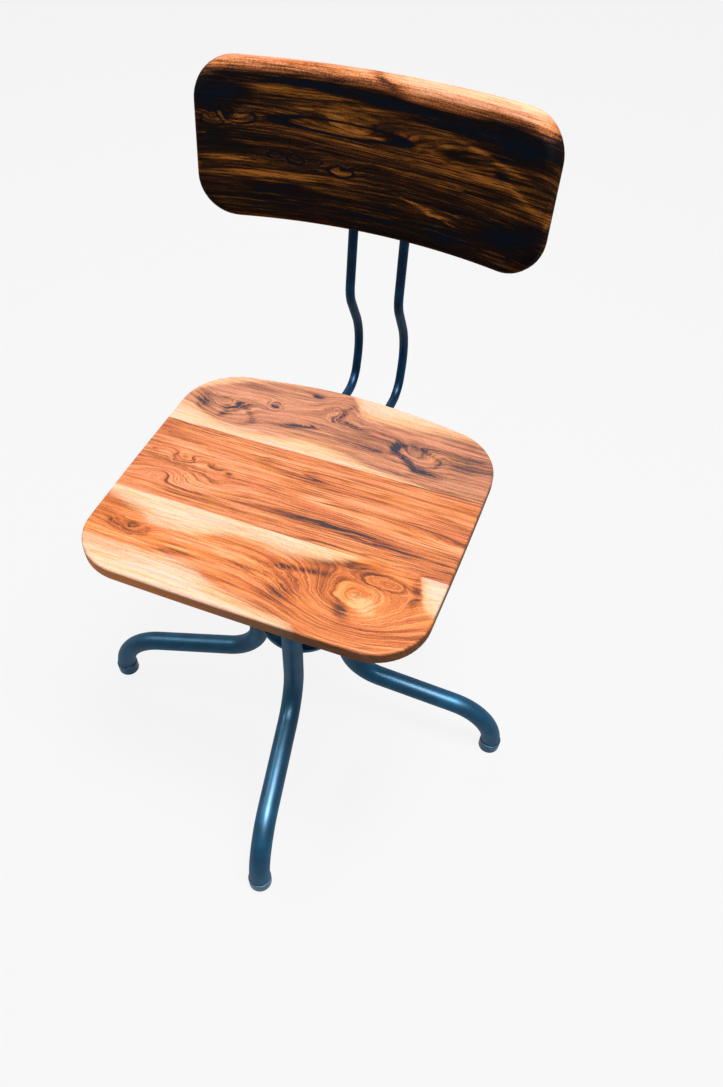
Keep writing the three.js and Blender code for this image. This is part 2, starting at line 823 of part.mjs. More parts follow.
function addSeat() {
  const board = new THREE.ExtrudeGeometry(seatOutline(), {
    depth: seatThickness - 2 * seatEdgeRound,
    bevelThickness: seatEdgeRound,
    bevelSize: seatEdgeRound,
    bevelOffset: -seatEdgeRound,
    bevelSegments: 2,
    curveSegments: 4,
  });
  board.translate(0, 0, seatUnderside + seatEdgeRound);
  const planks = {
    front: [-seatDepth, frontPlankJointY - fitGap / 2],
    middle: [frontPlankJointY + fitGap / 2, rearPlankJointY - fitGap / 2],
    rear: [rearPlankJointY + fitGap / 2, seatDepth],
  };
  for (const [place, [front, back]] of Object.entries(planks)) {
    const plank = common(board, plankSlab(front, back));
    const holes = [-railSpacing / 2, railSpacing / 2].map((x) =>
      screwHole(x, seatScrewPlaces[place], seatUnderside - cutOverrun, seatUnderside + seatScrewBite));
    addPiece(`seat_plank_${place}`, cut(plank, holes), seatWood);
  }
}

// Backrest: everything here is built upright about the rods' plane and then leans back with them
const plateRearRadius = backrestBendRadius + backrestThickness + 2 * fitGap + backPlateThickness;
const rodSeatRadius = plateRearRadius + rodRadius;
const bendAxisY = -Math.sqrt(rodSeatRadius ** 2 - (rodSpacing / 2) ** 2);
const frontFaceY = bendAxisY + backrestBendRadius;
const backGroupHeight = backrestCentreHeight + frontFaceY * Math.sin(rodLean);
const rodWaistHeight = rodRunHeight + rodWaistRise;
const backGroupY = rodWaistY + (backGroupHeight - rodWaistHeight) * Math.tan(rodLean);
const backScrewAngle = (backPlateWidth / 2 - backScrewInset) / plateRearRadius;
const backScrewHeight = backPlateHeight / 2 - backScrewInset;

function edgeInset(depth) {
  const beyond = Math.max(0, Math.abs(depth) - (backrestThickness / 2 - backrestEdgeRound));
  return backrestEdgeRound - Math.sqrt(Math.max(0, backrestEdgeRound ** 2 - beyond ** 2));
}

// Half the board's height at a place along its width, for the outline drawn in by an inset
function halfHeight(along, inset) {
  const beyond = Math.max(0, Math.abs(along) - (backrestWidth / 2 - backrestCornerRadius));
  const radius = backrestCornerRadius - inset;
  const rise = Math.sqrt(Math.max(0, radius ** 2 - beyond ** 2));
  return backrestHeight / 2 - backrestCornerRadius + rise;
}

function depthLevels() {
  const flat = backrestThickness / 2 - backrestEdgeRound;
  const steps = 4;
  const front = [];
  for (let index = 0; index <= steps; index += 1) {
    front.push(-flat - backrestEdgeRound * Math.cos((Math.PI / 2) * (index / steps)));
  }
  return front.concat(front.map((depth) => -depth).reverse());
}

function widthStations() {
  const straight = backrestWidth / 2 - backrestCornerRadius;
  const straightSteps = 12;
  const cornerSteps = 7;
  const stations = [];
  for (let index = 0; index <= straightSteps; index += 1) {
    stations.push(-straight + (2 * straight * index) / straightSteps);
  }
  const corner = [];
  for (let index = 1; index <= cornerSteps; index += 1) {
    corner.push(straight + backrestCornerRadius * Math.sin((Math.PI / 2) * (index / cornerSteps)));
  }
  const mirrored = corner.map((along) => -along).reverse();
  return mirrored.concat(stations, corner);
}

// The half thickness left at a place along the width, where the end edge is rounded
function halfThickness(along) {
  const beyond = Math.max(0, Math.abs(along) - (backrestWidth / 2 - backrestEdgeRound));
  const drop = backrestEdgeRound - Math.sqrt(Math.max(0, backrestEdgeRound ** 2 - beyond ** 2));
  return backrestThickness / 2 - drop;
}

function backrestSection(along) {
  const squeeze = halfThickness(along) / (backrestThickness / 2);
  const angle = along / backrestBendRadius;
  const place = (depth, height) => {
    const radius = backrestBendRadius + backrestThickness / 2 + depth;
    return new THREE.Vector3(radius * Math.sin(angle), bendAxisY + radius * Math.cos(angle), height);
  };
  const levels = depthLevels().map((depth) => depth * squeeze);
  const top = levels.map((depth) => place(depth, halfHeight(along, edgeInset(depth))));
  const bottom = levels.map((depth) => place(depth, -halfHeight(along, edgeInset(depth)))).reverse();
  return top.concat(bottom);
}

// Puts a piece built along +Z on the bent board's radius, at an angle round the bend and a height
function placeOnBend(geometry, angle, radius, height) {
  geometry.translate(0, 0, radius);
  geometry.rotateX(-Math.PI / 2);
  geometry.rotateZ(-angle);
  geometry.translate(0, bendAxisY, height);
  return geometry;
}

function backScrewSpots() {
  const spots = [];
  for (const angle of [-backScrewAngle, backScrewAngle]) {
    for (const height of [-backScrewHeight, backScrewHeight]) {
      spots.push({ angle, height });
    }
  }
  return spots;
}

function backScrewHole(spot) {
  const depth = backScrewBite + backPlateThickness + 2 * fitGap;
  const hole = disc(screwHoleRadius, -depth, cutOverrun, 10);
  return placeOnBend(hole, spot.angle, plateRearRadius, spot.height);
}

function backPlateBlank() {
  const innerRadius = plateRearRadius - backPlateThickness;
  const halfAngle = backPlateWidth / 2 / plateRearRadius;
  const middle = Math.PI / 2;
  const shape = new THREE.Shape();
  shape.absarc(0, bendAxisY, plateRearRadius, middle - halfAngle, middle + halfAngle, false);
  shape.absarc(0, bendAxisY, innerRadius, middle + halfAngle, middle - halfAngle, true);
  shape.closePath();
  return plate(shape, -backPlateHeight / 2, backPlateHeight / 2, 5);
}

function addBackrest() {
  const group = new THREE.Group();
  group.position.set(0, backGroupY, backGroupHeight);
  group.rotation.x = -rodLean;
  chair.add(group);
  const spots = backScrewSpots();
  const board = loft(widthStations().map(backrestSection));
  addPiece("backrest_panel", cut(board, spots.map(backScrewHole)), backWood, group);
  addPiece("backrest_plate", cut(backPlateBlank(), spots.map(backScrewHole)), paint, group);
  spots.forEach((spot, index) => {
    const screw = woodScrew(backScrewBite + backPlateThickness + fitGap);
    screw.rotateX(Math.PI);
    placeOnBend(screw, spot.angle, plateRearRadius + fitGap, spot.height);
    addPiece(`backrest_screw_${index + 1}`, screw, steel, group);
  });
}

// Back rods: along under the seat, up behind it, forward to a waist and back up the backrest
function addBackRods() {
  const topHeight = backGroupHeight + (backPlateHeight / 2 + rodTopOverhang) * Math.cos(rodLean);
  const topY = rodWaistY + (topHeight - rodWaistHeight) * Math.tan(rodLean);
  for (const [side, x] of [["left", -rodSpacing / 2], ["right", rodSpacing / 2]]) {
    const corners = [
      new THREE.Vector3(x, rodFrontEndY, rodRunHeight),
      new THREE.Vector3(x, rodRiserY, rodRunHeight),
      new THREE.Vector3(x, rodBellyY, rodRunHeight + rodBellyRise),
      new THREE.Vector3(x, rodWaistY, rodWaistHeight),
      new THREE.Vector3(x, topY, topHeight),
    ];
    const route = new BentRoute(corners, [rodRiserRadius, rodBellyRadius, rodWaistRadius], rodRings);
    addPiece(`back_rod_${side}`, sweep(roundSection(rodSides, rodRadius), route), paint);
  }
}

addLegs();
addBasePlates();
addColumn();
addKeyScrew();
addHandNut();
addSpindle();
addSwivel();
addClampPlate();
addCrossBar("cross_bar_front", -halfBarSpan);
addCrossBar("cross_bar_rear", halfBarSpan);
addClampBolts();
addRails();
addSeat();
addBackrest();
addBackRods();

export default chair;
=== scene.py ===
"""The looks of the bankers swivel chair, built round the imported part.

Lengths are millimetres in the part's frame until a mesh is made: +Z up, the floor at z = 0, the screw's
axis on Z and the sitter facing -Y. Meshes are in metres.
"""

import json
import math

import bmesh
import bpy
from mathutils import Matrix, Vector
from mathutils.geometry import tessellate_polygon

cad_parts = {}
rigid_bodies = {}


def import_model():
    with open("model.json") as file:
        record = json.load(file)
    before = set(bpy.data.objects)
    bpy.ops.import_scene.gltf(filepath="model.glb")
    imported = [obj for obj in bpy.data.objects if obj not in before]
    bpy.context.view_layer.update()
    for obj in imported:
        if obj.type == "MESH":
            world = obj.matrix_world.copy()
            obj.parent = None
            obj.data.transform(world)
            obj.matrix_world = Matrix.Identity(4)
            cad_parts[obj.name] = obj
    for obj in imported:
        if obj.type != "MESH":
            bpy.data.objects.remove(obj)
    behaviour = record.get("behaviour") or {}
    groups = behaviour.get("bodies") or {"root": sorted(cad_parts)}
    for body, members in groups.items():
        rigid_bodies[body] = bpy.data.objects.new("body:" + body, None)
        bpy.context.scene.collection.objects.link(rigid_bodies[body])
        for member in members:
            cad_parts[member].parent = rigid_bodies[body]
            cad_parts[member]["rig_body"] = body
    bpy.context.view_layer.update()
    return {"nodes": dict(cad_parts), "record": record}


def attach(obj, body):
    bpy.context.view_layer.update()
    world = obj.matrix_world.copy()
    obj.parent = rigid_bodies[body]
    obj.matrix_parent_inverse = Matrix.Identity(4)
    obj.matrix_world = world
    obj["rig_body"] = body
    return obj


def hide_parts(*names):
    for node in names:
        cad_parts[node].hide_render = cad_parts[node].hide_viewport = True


MM = 0.001
UP = (0, 0, 1)

# Fit of one piece in another
FIT_GAP = 0.3
JOINT_LINE = 0.12
WELD_DISTANCE = 0.01
SHARPEST_MITRE = 0.4

# Seat
SEAT_HEIGHT = 463
SEAT_THICKNESS = 18
SEAT_EDGE_ROUND = 3
SEAT_FRONT_WIDTH = 411
SEAT_MIDDLE_WIDTH = 420
SEAT_BACK_WIDTH = 421
SEAT_DEPTH = 356
SEAT_FRONT_CORNER = 65
SEAT_BACK_CORNER = 76
SEAT_FRONT_BULGE = 2.5
SEAT_BACK_BULGE = 33
SEAT_SETBACK = -9.5
BULGE_REACH_SHARE = 0.45
REAR_JOINT_Y = 62.5
FRONT_JOINT_Y = -69.5

# Backrest
BACK_WIDTH = 408
BACK_HEIGHT = 170
BACK_THICKNESS = 27
BACK_CORNER = 46
BACK_EDGE_ROUND = 11
BACK_BEND_RADIUS = 490
BACK_CENTRE_HEIGHT = 762

# Back rods
ROD_RADIUS = 6
ROD_SPACING = 65.5
ROD_FRONT_Y = -72
ROD_RISER_Y = 274
ROD_BELLY_Y = 295
ROD_BELLY_RISE = 72.5
ROD_WAIST_Y = 247.5
ROD_WAIST_RISE = 154
ROD_LEAN = math.radians(5.8)
ROD_BENDS = [31, 96, 47.5]
ROD_TOP_OVERHANG = 6

# Legs
LEG_RADIUS = 14
LEG_WALL = 2
LEG_TOP_RADIUS = 65.7
LEG_TOP_HEIGHT = 330
LEG_FOOT_RADIUS = 304.8
LEG_FOOT_CURL = 11.3
LEG_SLOPE = math.radians(10.9)
LEG_SHOULDER_HEIGHT = 124.6
LEG_BENDS = [61.5, 81]
LEG_OVERRUN = 6
LEG_AZIMUTHS = {"front": -79.1, "right": 5.3, "rear": 100.9, "left": 190.5}

# Foot caps
FERRULE_RADIUS = 15.5
FERRULE_HEIGHT = 19
FERRULE_FLOOR = 5
FERRULE_FOOT_ROUND = 3
FERRULE_LIP_ROUND = 1

# Base plates and column
PLATE_THICKNESS = 6
LOWER_PLATE_RADIUS = 59.8
LOWER_PLATE_HEIGHT = 213
UPPER_PLATE_RADIUS = 82
COLUMN_RADIUS = 30
COLUMN_WALL = 4
COLUMN_FOOT_DROP = 15
BUSH_LENGTH = 22

# Screw spindle and key
SPINDLE_RADIUS = 14
SPINDLE_FOOT = 180
SPINDLE_PITCH = 5
SPINDLE_THREAD_DEPTH = 2.6
THREAD_BURY = 1
COLLAR_RADIUS = 23
COLLAR_THICKNESS = 6
COLLAR_LIFT = 3
JOURNAL_RADIUS = 10
JOURNAL_CHAMFER = 1.5
JOURNAL_ROOT_ROUND = 0.2
HEIGHT_TRAVEL = 100
KEY_DEPTH = 4
KEY_RADIUS = 4
KEY_HEAD_ACROSS = 13
KEY_HEAD_HEIGHT = 5.3
KEY_AZIMUTH = math.radians(-37)
KEY_DROP = 12

# Where a thread's profile has its corners: their share of the pitch, then of the depth
THREAD_SHARES = [(0, 0), (0.32, 0), (0.5, 1), (0.82, 1)]

# Hexagons: the flat landing's share of the width, and the slope that cuts their corners back
LANDING_SHARE = 0.95
CORNER_SLOPE = math.tan(math.radians(30))

# Hand nut
NUT_RADIUS = 50
NUT_HEIGHT = 24
NUT_RIM_HEIGHT = 15
NUT_HUB_RADIUS = 25
NUT_LOBES = 8
NUT_LOBE_DEPTH = 4
NUT_RIM_DROP = 3
NUT_WEB_WIDTH = 8
NUT_UNDER_ROOT_ROUND = 1.2
NUT_TOP_ROOT_ROUND = 2.5
NUT_GRIP_ROUND = 3.5
NUT_CROWN_ROUND = 1.5
NUT_WASHER_THICKNESS = 2
NUT_WASHER_OVERHANG = 6

# Swivel
HOUSING_RADIUS = 30
HOUSING_NECK_RADIUS = 25
HOUSING_HEIGHT = 31
HOUSING_NECK_SHARE = 0.5
HOUSING_SHOULDER_SHARE = 0.2
HOUSING_EDGE = 0.5
HOUSING_FOOT_ROUND = 1.5
HOUSING_SHOULDER_ROUND = 4
SLEEVE_SHARE = 0.42
SWIVEL_BUSH_WALL = 3
FLANGE_WIDTH = 9
FLANGE_THICKNESS = 2.7
THRUST_WASHER = 2
RETAINING_WASHER_RADIUS = 18.5
RETAINING_WASHER = 2
RETAINING_NUT_ACROSS = 30
RETAINING_NUT_HEIGHT = 10

# Seat frame
CLAMP_WIDTH = 160
CLAMP_DEPTH = 150
CLAMP_THICKNESS = 6
CLAMP_CORNER = 12
BAR_LENGTH = 210
BAR_WIDTH = 30
BAR_THICKNESS = 6
BAR_CORNER = 4
BAR_SPACING = 100
BOLT_SPACING = 120
BOLT_RADIUS = 4
BOLT_PITCH = 1.25
BOLT_THREAD_DEPTH = 0.7
BOLT_HEAD_ACROSS = 13
BOLT_HEAD_HEIGHT = 5.3
BOLT_NUT_HEIGHT = 6.5
BOLT_HOLE_PLAY = 0.5
RAIL_SPACING = 180
RAIL_WIDTH = 30
RAIL_LENGTH = 300
RAIL_WALL = 2.5
RAIL_EDGE = 0.5
RAIL_INNER_ROUND = 1
RAIL_BEND_ROUND = 3

# Wood screws
SCREW_RADIUS = 2.1
SCREW_HEAD_RADIUS = 4.25
SCREW_HEAD_HEIGHT = 3
SCREW_BRIM_ROUND = 0.3
SCREW_CROWN_ROUND = 1.2
SCREW_CROWN_SHARE = 0.74
RECESS_ARM_SHARE = 0.55
RECESS_SLOT_SHARE = 0.13
RECESS_FLOOR_SHARE = 0.6
RECESS_DEPTH_SHARE = 2 / 3
SCREW_BITE = 13
SCREW_PLACES = [-125, -5, 125]
BACK_PLATE_WIDTH = 120
BACK_PLATE_HEIGHT = 80
BACK_PLATE_THICKNESS = 3
BACK_PLATE_CORNER = 3
BACK_SCREW_INSET = 14
BACK_SCREW_BITE = 14

# Welds
BEAD_RADIUS = 2
BEAD_RIPPLE = 3.4
BEAD_RIPPLE_SHARE = 0.14
BEAD_STEP = BEAD_RIPPLE / 4
BEAD_SIDES = 8
BEAD_TAPER_STEPS = 3
BEAD_STANDOFF = 0.4
LEG_BEAD_STANDOFF = 0.6
LEG_BEAD_DROP = 1
ROD_BEAD_SHARE = 0.75
ROD_BEAD_END = 6

# Small edges
RING_EDGE = 0.4
SHEET_EDGE = 0.7
HEAVY_EDGE = 0.8
RIM_EDGE = 1

# Shading stays smooth up to these angles in degrees
SHARP_ANGLE = 32
BOARD_SHARP_ANGLE = 60

# Steps round pieces, notches and bends
HOLE_SIDES = 24
BOLT_SIDES = 28
SCREW_SIDES = 32
ROD_SIDES = 32
KEY_SIDES = 36
ROUND_SIDES = 48
TURNED_SIDES = 72
WIDE_SIDES = 96
NUT_SIDES = 160
NOTCH_STEPS = 16
RIM_STEPS = 12
BEND_FACETS = 60

# Paint. Cloud, peel and other single noises are given by scale, detail and roughness
PAINT_COLOURS = ["00324e", "003e5c", "004e72"]
# The rods' paint is a darker copy of the same paint: painted shade for the rods under the backrest
ROD_SHADED_PAINT_COLOURS = ["001830", "002442", "00385a"]
PAINT_LEVELS = [0.36, 0.5, 0.64]
PAINT_CLOUD = (0.04, 3)
PEEL = (1.5, 2, 0.6)
PAINT_ROUGHNESS = 0.38
PAINT_CLOUD_SHARE = 0.04
PAINT_AWAY_SHARE = 0.2
PAINT_TURNED_AWAY = (0.25, 0.85)
PAINT_GLOSS_TINT = (0.62, 0.86, 1.0, 1.0)
PEEL_DEPTH = 0.04

# Metal and rubber
METAL_LEVELS = [0.3, 0.7]
METAL_CLOUD = (0.12, 3)
METAL_MARKS = (0.15, 0.15, 3.0)
METAL_MARK_SHARE = 0.16
METAL_MARK_DEPTH = 0.01
RUBBER_COLOURS = [(0.3, "003c5c"), (0.7, "005078")]
RUBBER_CLOUD = (0.15, 3)
RUBBER_GRAIN = (1.6, 2)
# Painted shade where the foot meets the floor, and the heights over which it fades
RUBBER_CONTACT_SHADE = "00101f"
RUBBER_CONTACT_SHADE_HEIGHTS = (8, 2)
RUBBER_ROUGHNESS = 0.34
RUBBER_GRAIN_SHARE = 0.15
RUBBER_GRAIN_DEPTH = 0.03
RUBBER_GLOSS = 0.35
RUBBER_GLOSS_TINT = (0.5, 0.78, 1.0, 1.0)

# Wood: how fast its noise changes along the grain and across it, then the noise's detail and roughness
STREAKS = {
    "zone": (0.004, 0.05, 2, 0.5),
    "band": (0.008, 0.24, 4, 0.66),
    "hair": (0.035, 0.9, 2, 0.65),
    "broken": (0.03, 0.42, 3, 0.7),
    "pores": (0.12, 1.1, 1, 0.5),
    "hue": (0.01, 0.13, 3, 0.6),
    "feather": (0.014, 0.14, 4, 0.62),
    "warp": (0.003, 0.035, 2, 0.5),
}
WANDER_SCALES = (0.006, 0.022, 0.022)
WANDER_DETAIL = 3
CURL_SCALES = (0.032, 0.06, 0.03)
CURL_REACH = (30, 16, 0)
CURL_DETAIL = 4
CURL_ROUGHNESS = 0.6
PATCH_SCALES = (0.012, 0.04, 0.04)
PATCH_EDGES = (0.36, 0.62)
BREAK_EDGES = (0.4, 0.58)
PORE_EDGES = (0.6, 0.72)
SPECKLE = (0.55, 2, 0.6)
SHADE_KEPT = 0.3
SHADE_BROKEN = 0.85
GRAIN_DEPTH = 0.05
BELL_DEPTH = 1000
FAR_OUTSIDE = -1000
RIM_LEVEL = 0.42
RIM_SHARPNESS = 110
RING_WARP = 9
RING_POWER = 4
RING_END = 0.88
# Painted shade on the seat's sides and underside, darker towards its right, with some of the edge's own
# darker tone: the fade's width, then the start, spread and band share of its tone
SIDE_SHADE_BLUR = 3
SIDE_SHADE_START = -0.4
SIDE_SHADE_SPREAD = 400
SIDE_SHADE_BAND_SHARE = 0.8
HAIR_ROUGHNESS = 0.16
SIDE_ROUGHNESS = 0.25
HUE_SHARE = 0.9

# Sapwood: the shares of band, hair and speckle in its tone
SAPWOOD_SHARES = (1.0, 0.8, 0.6)
SAPWOOD_START = -0.7
SAPWOOD_SHADE = 0.6

# Slides the grain's noise along it from row to row, so that no columns show
GRAIN_SLIDE = 7

# Floor and backdrop. The whole stage is in metres
WHITE = (1, 1, 1, 1)
FLOOR_SIZE = 40
FLOOR_COLOUR = "b4b4b4"
FLOOR_WHITE_SHARE = 0.88
WORLD_LIGHT = 0.25
WORLD_WHITE = 0.9

# Lamps: place, aim, size and power, and whether one shows in gloss alone
LAMPS = {
    "key": ((0.34, -0.1, 2.4), (0, 0, -1), 0.5, 27.5, False),
    "right": ((1.0, -0.28, 2.4), (-0.8, 0.28, -2.3), 0.5, 17, False),
    "left": ((-1.7, -0.3, 1.9), (1.7, 0.3, -1.7), 0.6, 8, False),
    "rim": ((-0.9, 1.9, 2.0), (0.9, -1.9, -1.7), 1.6, 12, False),
    "front_sheen": ((0.38, -0.5, 2.4), (-0.1, 0.2, -1), 1.1, 320, True),
    "left_sheen": ((-1.55, -0.5, 2.0), (1.5, 0.4, -1.9), 0.9, 30, True),
}

# Camera: the photograph's viewpoint and lens
CAMERA_PLACE = (307.4, -658.06, 1187.14)
CAMERA_RIGHT = (0.93510161, 0.35328661, 0.0278129)
CAMERA_DOWN = (0.28145996, -0.69270983, -0.66402815)
CAMERA_AHEAD = (-0.21532599, 0.62876201, -0.74719011)
FOCAL_SHARE = 857.911 / 1087
SENSOR = 36

# Heights that follow from the pieces stacked on each other
SEAT_UNDERSIDE = SEAT_HEIGHT - SEAT_THICKNESS
RAIL_TOP = SEAT_UNDERSIDE - FIT_GAP
LOWER_PLATE_TOP = LOWER_PLATE_HEIGHT + PLATE_THICKNESS
UPPER_PLATE_BOTTOM = LEG_TOP_HEIGHT + FIT_GAP
UPPER_PLATE_TOP = UPPER_PLATE_BOTTOM + PLATE_THICKNESS
COLUMN_FOOT = LOWER_PLATE_HEIGHT - COLUMN_FOOT_DROP
NUT_WASHER_BOTTOM = UPPER_PLATE_TOP + FIT_GAP
NUT_BOTTOM = NUT_WASHER_BOTTOM + NUT_WASHER_THICKNESS + FIT_GAP
NUT_TOP = NUT_BOTTOM + NUT_HEIGHT
COLLAR_BOTTOM = NUT_TOP + COLLAR_LIFT
COLLAR_TOP = COLLAR_BOTTOM + COLLAR_THICKNESS
THRUST_BOTTOM = COLLAR_TOP + FIT_GAP
LOWER_FLANGE_BOTTOM = THRUST_BOTTOM + THRUST_WASHER + FIT_GAP
HOUSING_BOTTOM = LOWER_FLANGE_BOTTOM + FLANGE_THICKNESS + FIT_GAP
CLAMP_BOTTOM = HOUSING_BOTTOM + HOUSING_HEIGHT + FIT_GAP
CLAMP_TOP = CLAMP_BOTTOM + CLAMP_THICKNESS
ROD_RUN_HEIGHT = CLAMP_TOP + FIT_GAP + ROD_RADIUS
BAR_BOTTOM = ROD_RUN_HEIGHT + ROD_RADIUS + FIT_GAP
BAR_TOP = BAR_BOTTOM + BAR_THICKNESS
RAIL_BOTTOM = BAR_TOP + FIT_GAP
UPPER_FLANGE_BOTTOM = CLAMP_TOP + FIT_GAP
RETAINING_WASHER_BOTTOM = UPPER_FLANGE_BOTTOM + FLANGE_THICKNESS + FIT_GAP
RETAINING_NUT_BOTTOM = RETAINING_WASHER_BOTTOM + RETAINING_WASHER + FIT_GAP
JOURNAL_TOP = RETAINING_NUT_BOTTOM + RETAINING_NUT_HEIGHT + JOURNAL_CHAMFER
KEY_HEIGHT = UPPER_PLATE_TOP - BUSH_LENGTH - KEY_DROP
JOURNAL_HOLE = JOURNAL_RADIUS + FIT_GAP
HOUSING_BORE = JOURNAL_HOLE + SWIVEL_BUSH_WALL + FIT_GAP
SPINDLE_HOLE = SPINDLE_RADIUS + FIT_GAP

# The backrest's bend and lean
PLATE_REAR_RADIUS = BACK_BEND_RADIUS + BACK_THICKNESS + 2 * FIT_GAP + BACK_PLATE_THICKNESS
BEND_AXIS_Y = -math.sqrt((PLATE_REAR_RADIUS + ROD_RADIUS) ** 2 - (ROD_SPACING / 2) ** 2)
BACK_ORIGIN_Z = BACK_CENTRE_HEIGHT + (BEND_AXIS_Y + BACK_BEND_RADIUS) * math.sin(ROD_LEAN)
ROD_WAIST_HEIGHT = ROD_RUN_HEIGHT + ROD_WAIST_RISE
BACK_ORIGIN_Y = ROD_WAIST_Y + (BACK_ORIGIN_Z - ROD_WAIST_HEIGHT) * math.tan(ROD_LEAN)
BACK_FRAME = Matrix.Translation((0, BACK_ORIGIN_Y, BACK_ORIGIN_Z)) @ Matrix.Rotation(-ROD_LEAN, 4, "X")

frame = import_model()
slot_of = {part["node"]: part["material_slot"] for part in frame["record"]["subparts"]}


# Mesh building


def span(mesh, low, high):
    """Faces between two rings of vertices, either of which may be a single tip."""
    for index in range(max(len(low), len(high))):
        following = index + 1
        corners = [low[index % len(low)], low[following % len(low)]]
        corners += [high[following % len(high)], high[index % len(high)]]
        mesh.faces.new(list(dict.fromkeys(corners)))


def cap(mesh, rings):
    """A flat face over the first ring of vertices, less the rings within it."""
    verts = [vert for ring in rings for vert in ring]
    if len(rings) == 1:
        mesh.faces.new(verts)
        return
    for corners in tessellate_polygon([[vert.co for vert in ring] for ring in rings]):
        mesh.faces.new([verts[corner] for corner in corners])


def outward(mesh):
    """The mesh with all its faces turned outward."""
    bmesh.ops.recalc_face_normals(mesh, faces=mesh.faces)
    return mesh


def skin(rows, loop=False, capped=True):
    """A mesh over rows of points. Each row is a ring, or a single point at a tip."""
    mesh = bmesh.new()
    made = [[mesh.verts.new(Vector(point) * MM) for point in row] for row in rows]
    for low, high in zip(made, made[1:]):
        span(mesh, low, high)
    if loop:
        span(mesh, made[-1], made[0])
    elif capped:
        for row in (made[0], made[-1]):
            if len(row) > 1:
                mesh.faces.new(row)
    return outward(mesh)


def joined(parts):
    """One mesh that holds several closed shells."""
    whole = bmesh.new()
    for part in parts:
        step = bpy.data.meshes.new("step")
        part.to_mesh(step)
        part.free()
        whole.from_mesh(step)
        bpy.data.meshes.remove(step)
    return whole


def sliced(mesh, point, normal):
    """The part of a closed mesh that lies on the normal's side of a plane, closed again at the cut."""
    everything = mesh.verts[:] + mesh.edges[:] + mesh.faces[:]
    made = bmesh.ops.bisect_plane(mesh, geom=everything, plane_co=Vector(point) * MM, plane_no=normal,
                                  clear_inner=True)
    rim = [part for part in made["geom_cut"] if isinstance(part, bmesh.types.BMEdge)]
    bmesh.ops.triangle_fill(mesh, edges=rim, use_beauty=True)
    return outward(mesh)


def moved(mesh, matrix):
    """The mesh placed by a matrix whose translation is in millimetres."""
    metres = matrix.copy()
    metres.translation *= MM
    bmesh.ops.transform(mesh, matrix=metres, verts=mesh.verts)
    return mesh


def add_piece(name, mesh, body, slot, material, sharp_angle=SHARP_ANGLE):
    """Makes the mesh an object that rides on a body and takes the given material. The slot is not used."""
    data = bpy.data.meshes.new(name)
    mesh.to_mesh(data)
    mesh.free()
    data.shade_smooth()
    data.set_sharp_from_angle(angle=math.radians(sharp_angle))
    data.materials.append(material)
    piece = bpy.data.objects.new(name, data)
    bpy.context.scene.collection.objects.link(piece)
    shading = piece.modifiers.new("even_shading", "WEIGHTED_NORMAL")
    shading.keep_sharp = True
    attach(piece, body)
    return piece


def dress(node, mesh, material, sharp_angle=SHARP_ANGLE):
    """A detailed piece in the place of a CAD node."""
    body = frame["nodes"][node]["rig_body"]
    piece = add_piece(f"{node}_look", mesh, body, slot_of[node], material, sharp_angle)
    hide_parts(node)


# Lines


def pair(spacing):
    """The two places half a spacing either side of the middle."""
    return -spacing / 2, spacing / 2


def bearings(sides):
    """Angles spread evenly over a full turn."""
    return [2 * math.pi * index / sides for index in range(sides)]


def polar(reach, angle, height=0):
    return Vector((reach * math.cos(angle), reach * math.sin(angle), height))


def filleted(points, radii, steps, closed=False):
    """The points of a line whose corners are rounded to their radii."""
    last = len(points) - 1
    line = []
    for index, (corner, radius) in enumerate(zip(points, radii)):
        is_end = not closed and index in (0, last)
        if is_end or radius == 0:
            line.append(corner.copy())
            continue
        arrival = (corner - points[index - 1]).normalized()
        departure = (points[(index + 1) % len(points)] - corner).normalized()
        turn = arrival.angle(departure)
        start = corner - arrival * (radius * math.tan(turn / 2))
        inward = (departure - arrival * departure.dot(arrival)).normalized()
        for step in range(steps + 1):
            angle = turn * step / steps
            along = arrival * math.sin(angle) + inward * (1 - math.cos(angle))
            line.append(start + along * radius)
    return line


def rounded(profile, steps, closed=False):
    """A line through corners that are given as x, y and how far each is rounded."""
    points = [Vector(corner[:2]) for corner in profile]
    return filleted(points, [corner[2] for corner in profile], steps, closed)


def circle(x, y, radius, sides, clockwise=False):
    turn = -1 if clockwise else 1
    return [Vector((x, y)) + polar(radius, turn * angle).xy for angle in bearings(sides)]


def rounded_rectangle(width, depth, radius, y=0, steps=8):
    signs = [(-1, -1), (1, -1), (1, 1), (-1, 1)]
    return rounded([(sx * width / 2, y + sy * depth / 2, radius) for sx, sy in signs], steps, closed=True)


def inset(loop, distance):
    """A closed line moved to its left, which is into the material."""
    line = []
    for index, point in enumerate(loop):
        arrival = (point - loop[index - 1]).normalized()
        departure = (loop[(index + 1) % len(loop)] - point).normalized()
        left = Vector((-arrival.y, arrival.x))
        normal = (left + Vector((-departure.y, departure.x))).normalized()
        line.append(point + normal * (distance / max(SHARPEST_MITRE, normal.dot(left))))
    return line


def subdivided(loop, longest):
    """The same closed line with no stretch longer than given."""
    line = []
    for point, following in zip(loop, loop[1:] + loop[:1]):
        count = max(1, math.ceil((following - point).length / longest))
        line += [point.lerp(following, step / count) for step in range(count)]
    return line


# Solids


def edge_levels(bottom, top, edge, steps):
    """Inset and height of each row up the rounded side of a plate."""
    lower = []
    for step in range(steps + 1):
        angle = math.pi / 2 * step / steps
        lower.append((edge * (1 - math.sin(angle)), bottom + edge * (1 - math.cos(angle))))
    return lower + [(draw, bottom + top - height) for draw, height in reversed(lower)]


def slab(loops, bottom, top, edge=SHEET_EDGE, steps=3):
    """A flat plate with rounded edges. The first loop is its outline, the others are its holes."""
    mesh = bmesh.new()
    under = []
    over = []
    for loop in loops:
        rows = []
        for draw, height in edge_levels(bottom, top, edge, steps):
            rows.append([mesh.verts.new(Vector((*point, height)) * MM) for point in inset(loop, draw)])
        for low, high in zip(rows, rows[1:]):
            span(mesh, low, high)
        under.append(rows[0])
        over.append(rows[-1])
    cap(mesh, under)
    cap(mesh, over)
    return outward(mesh)


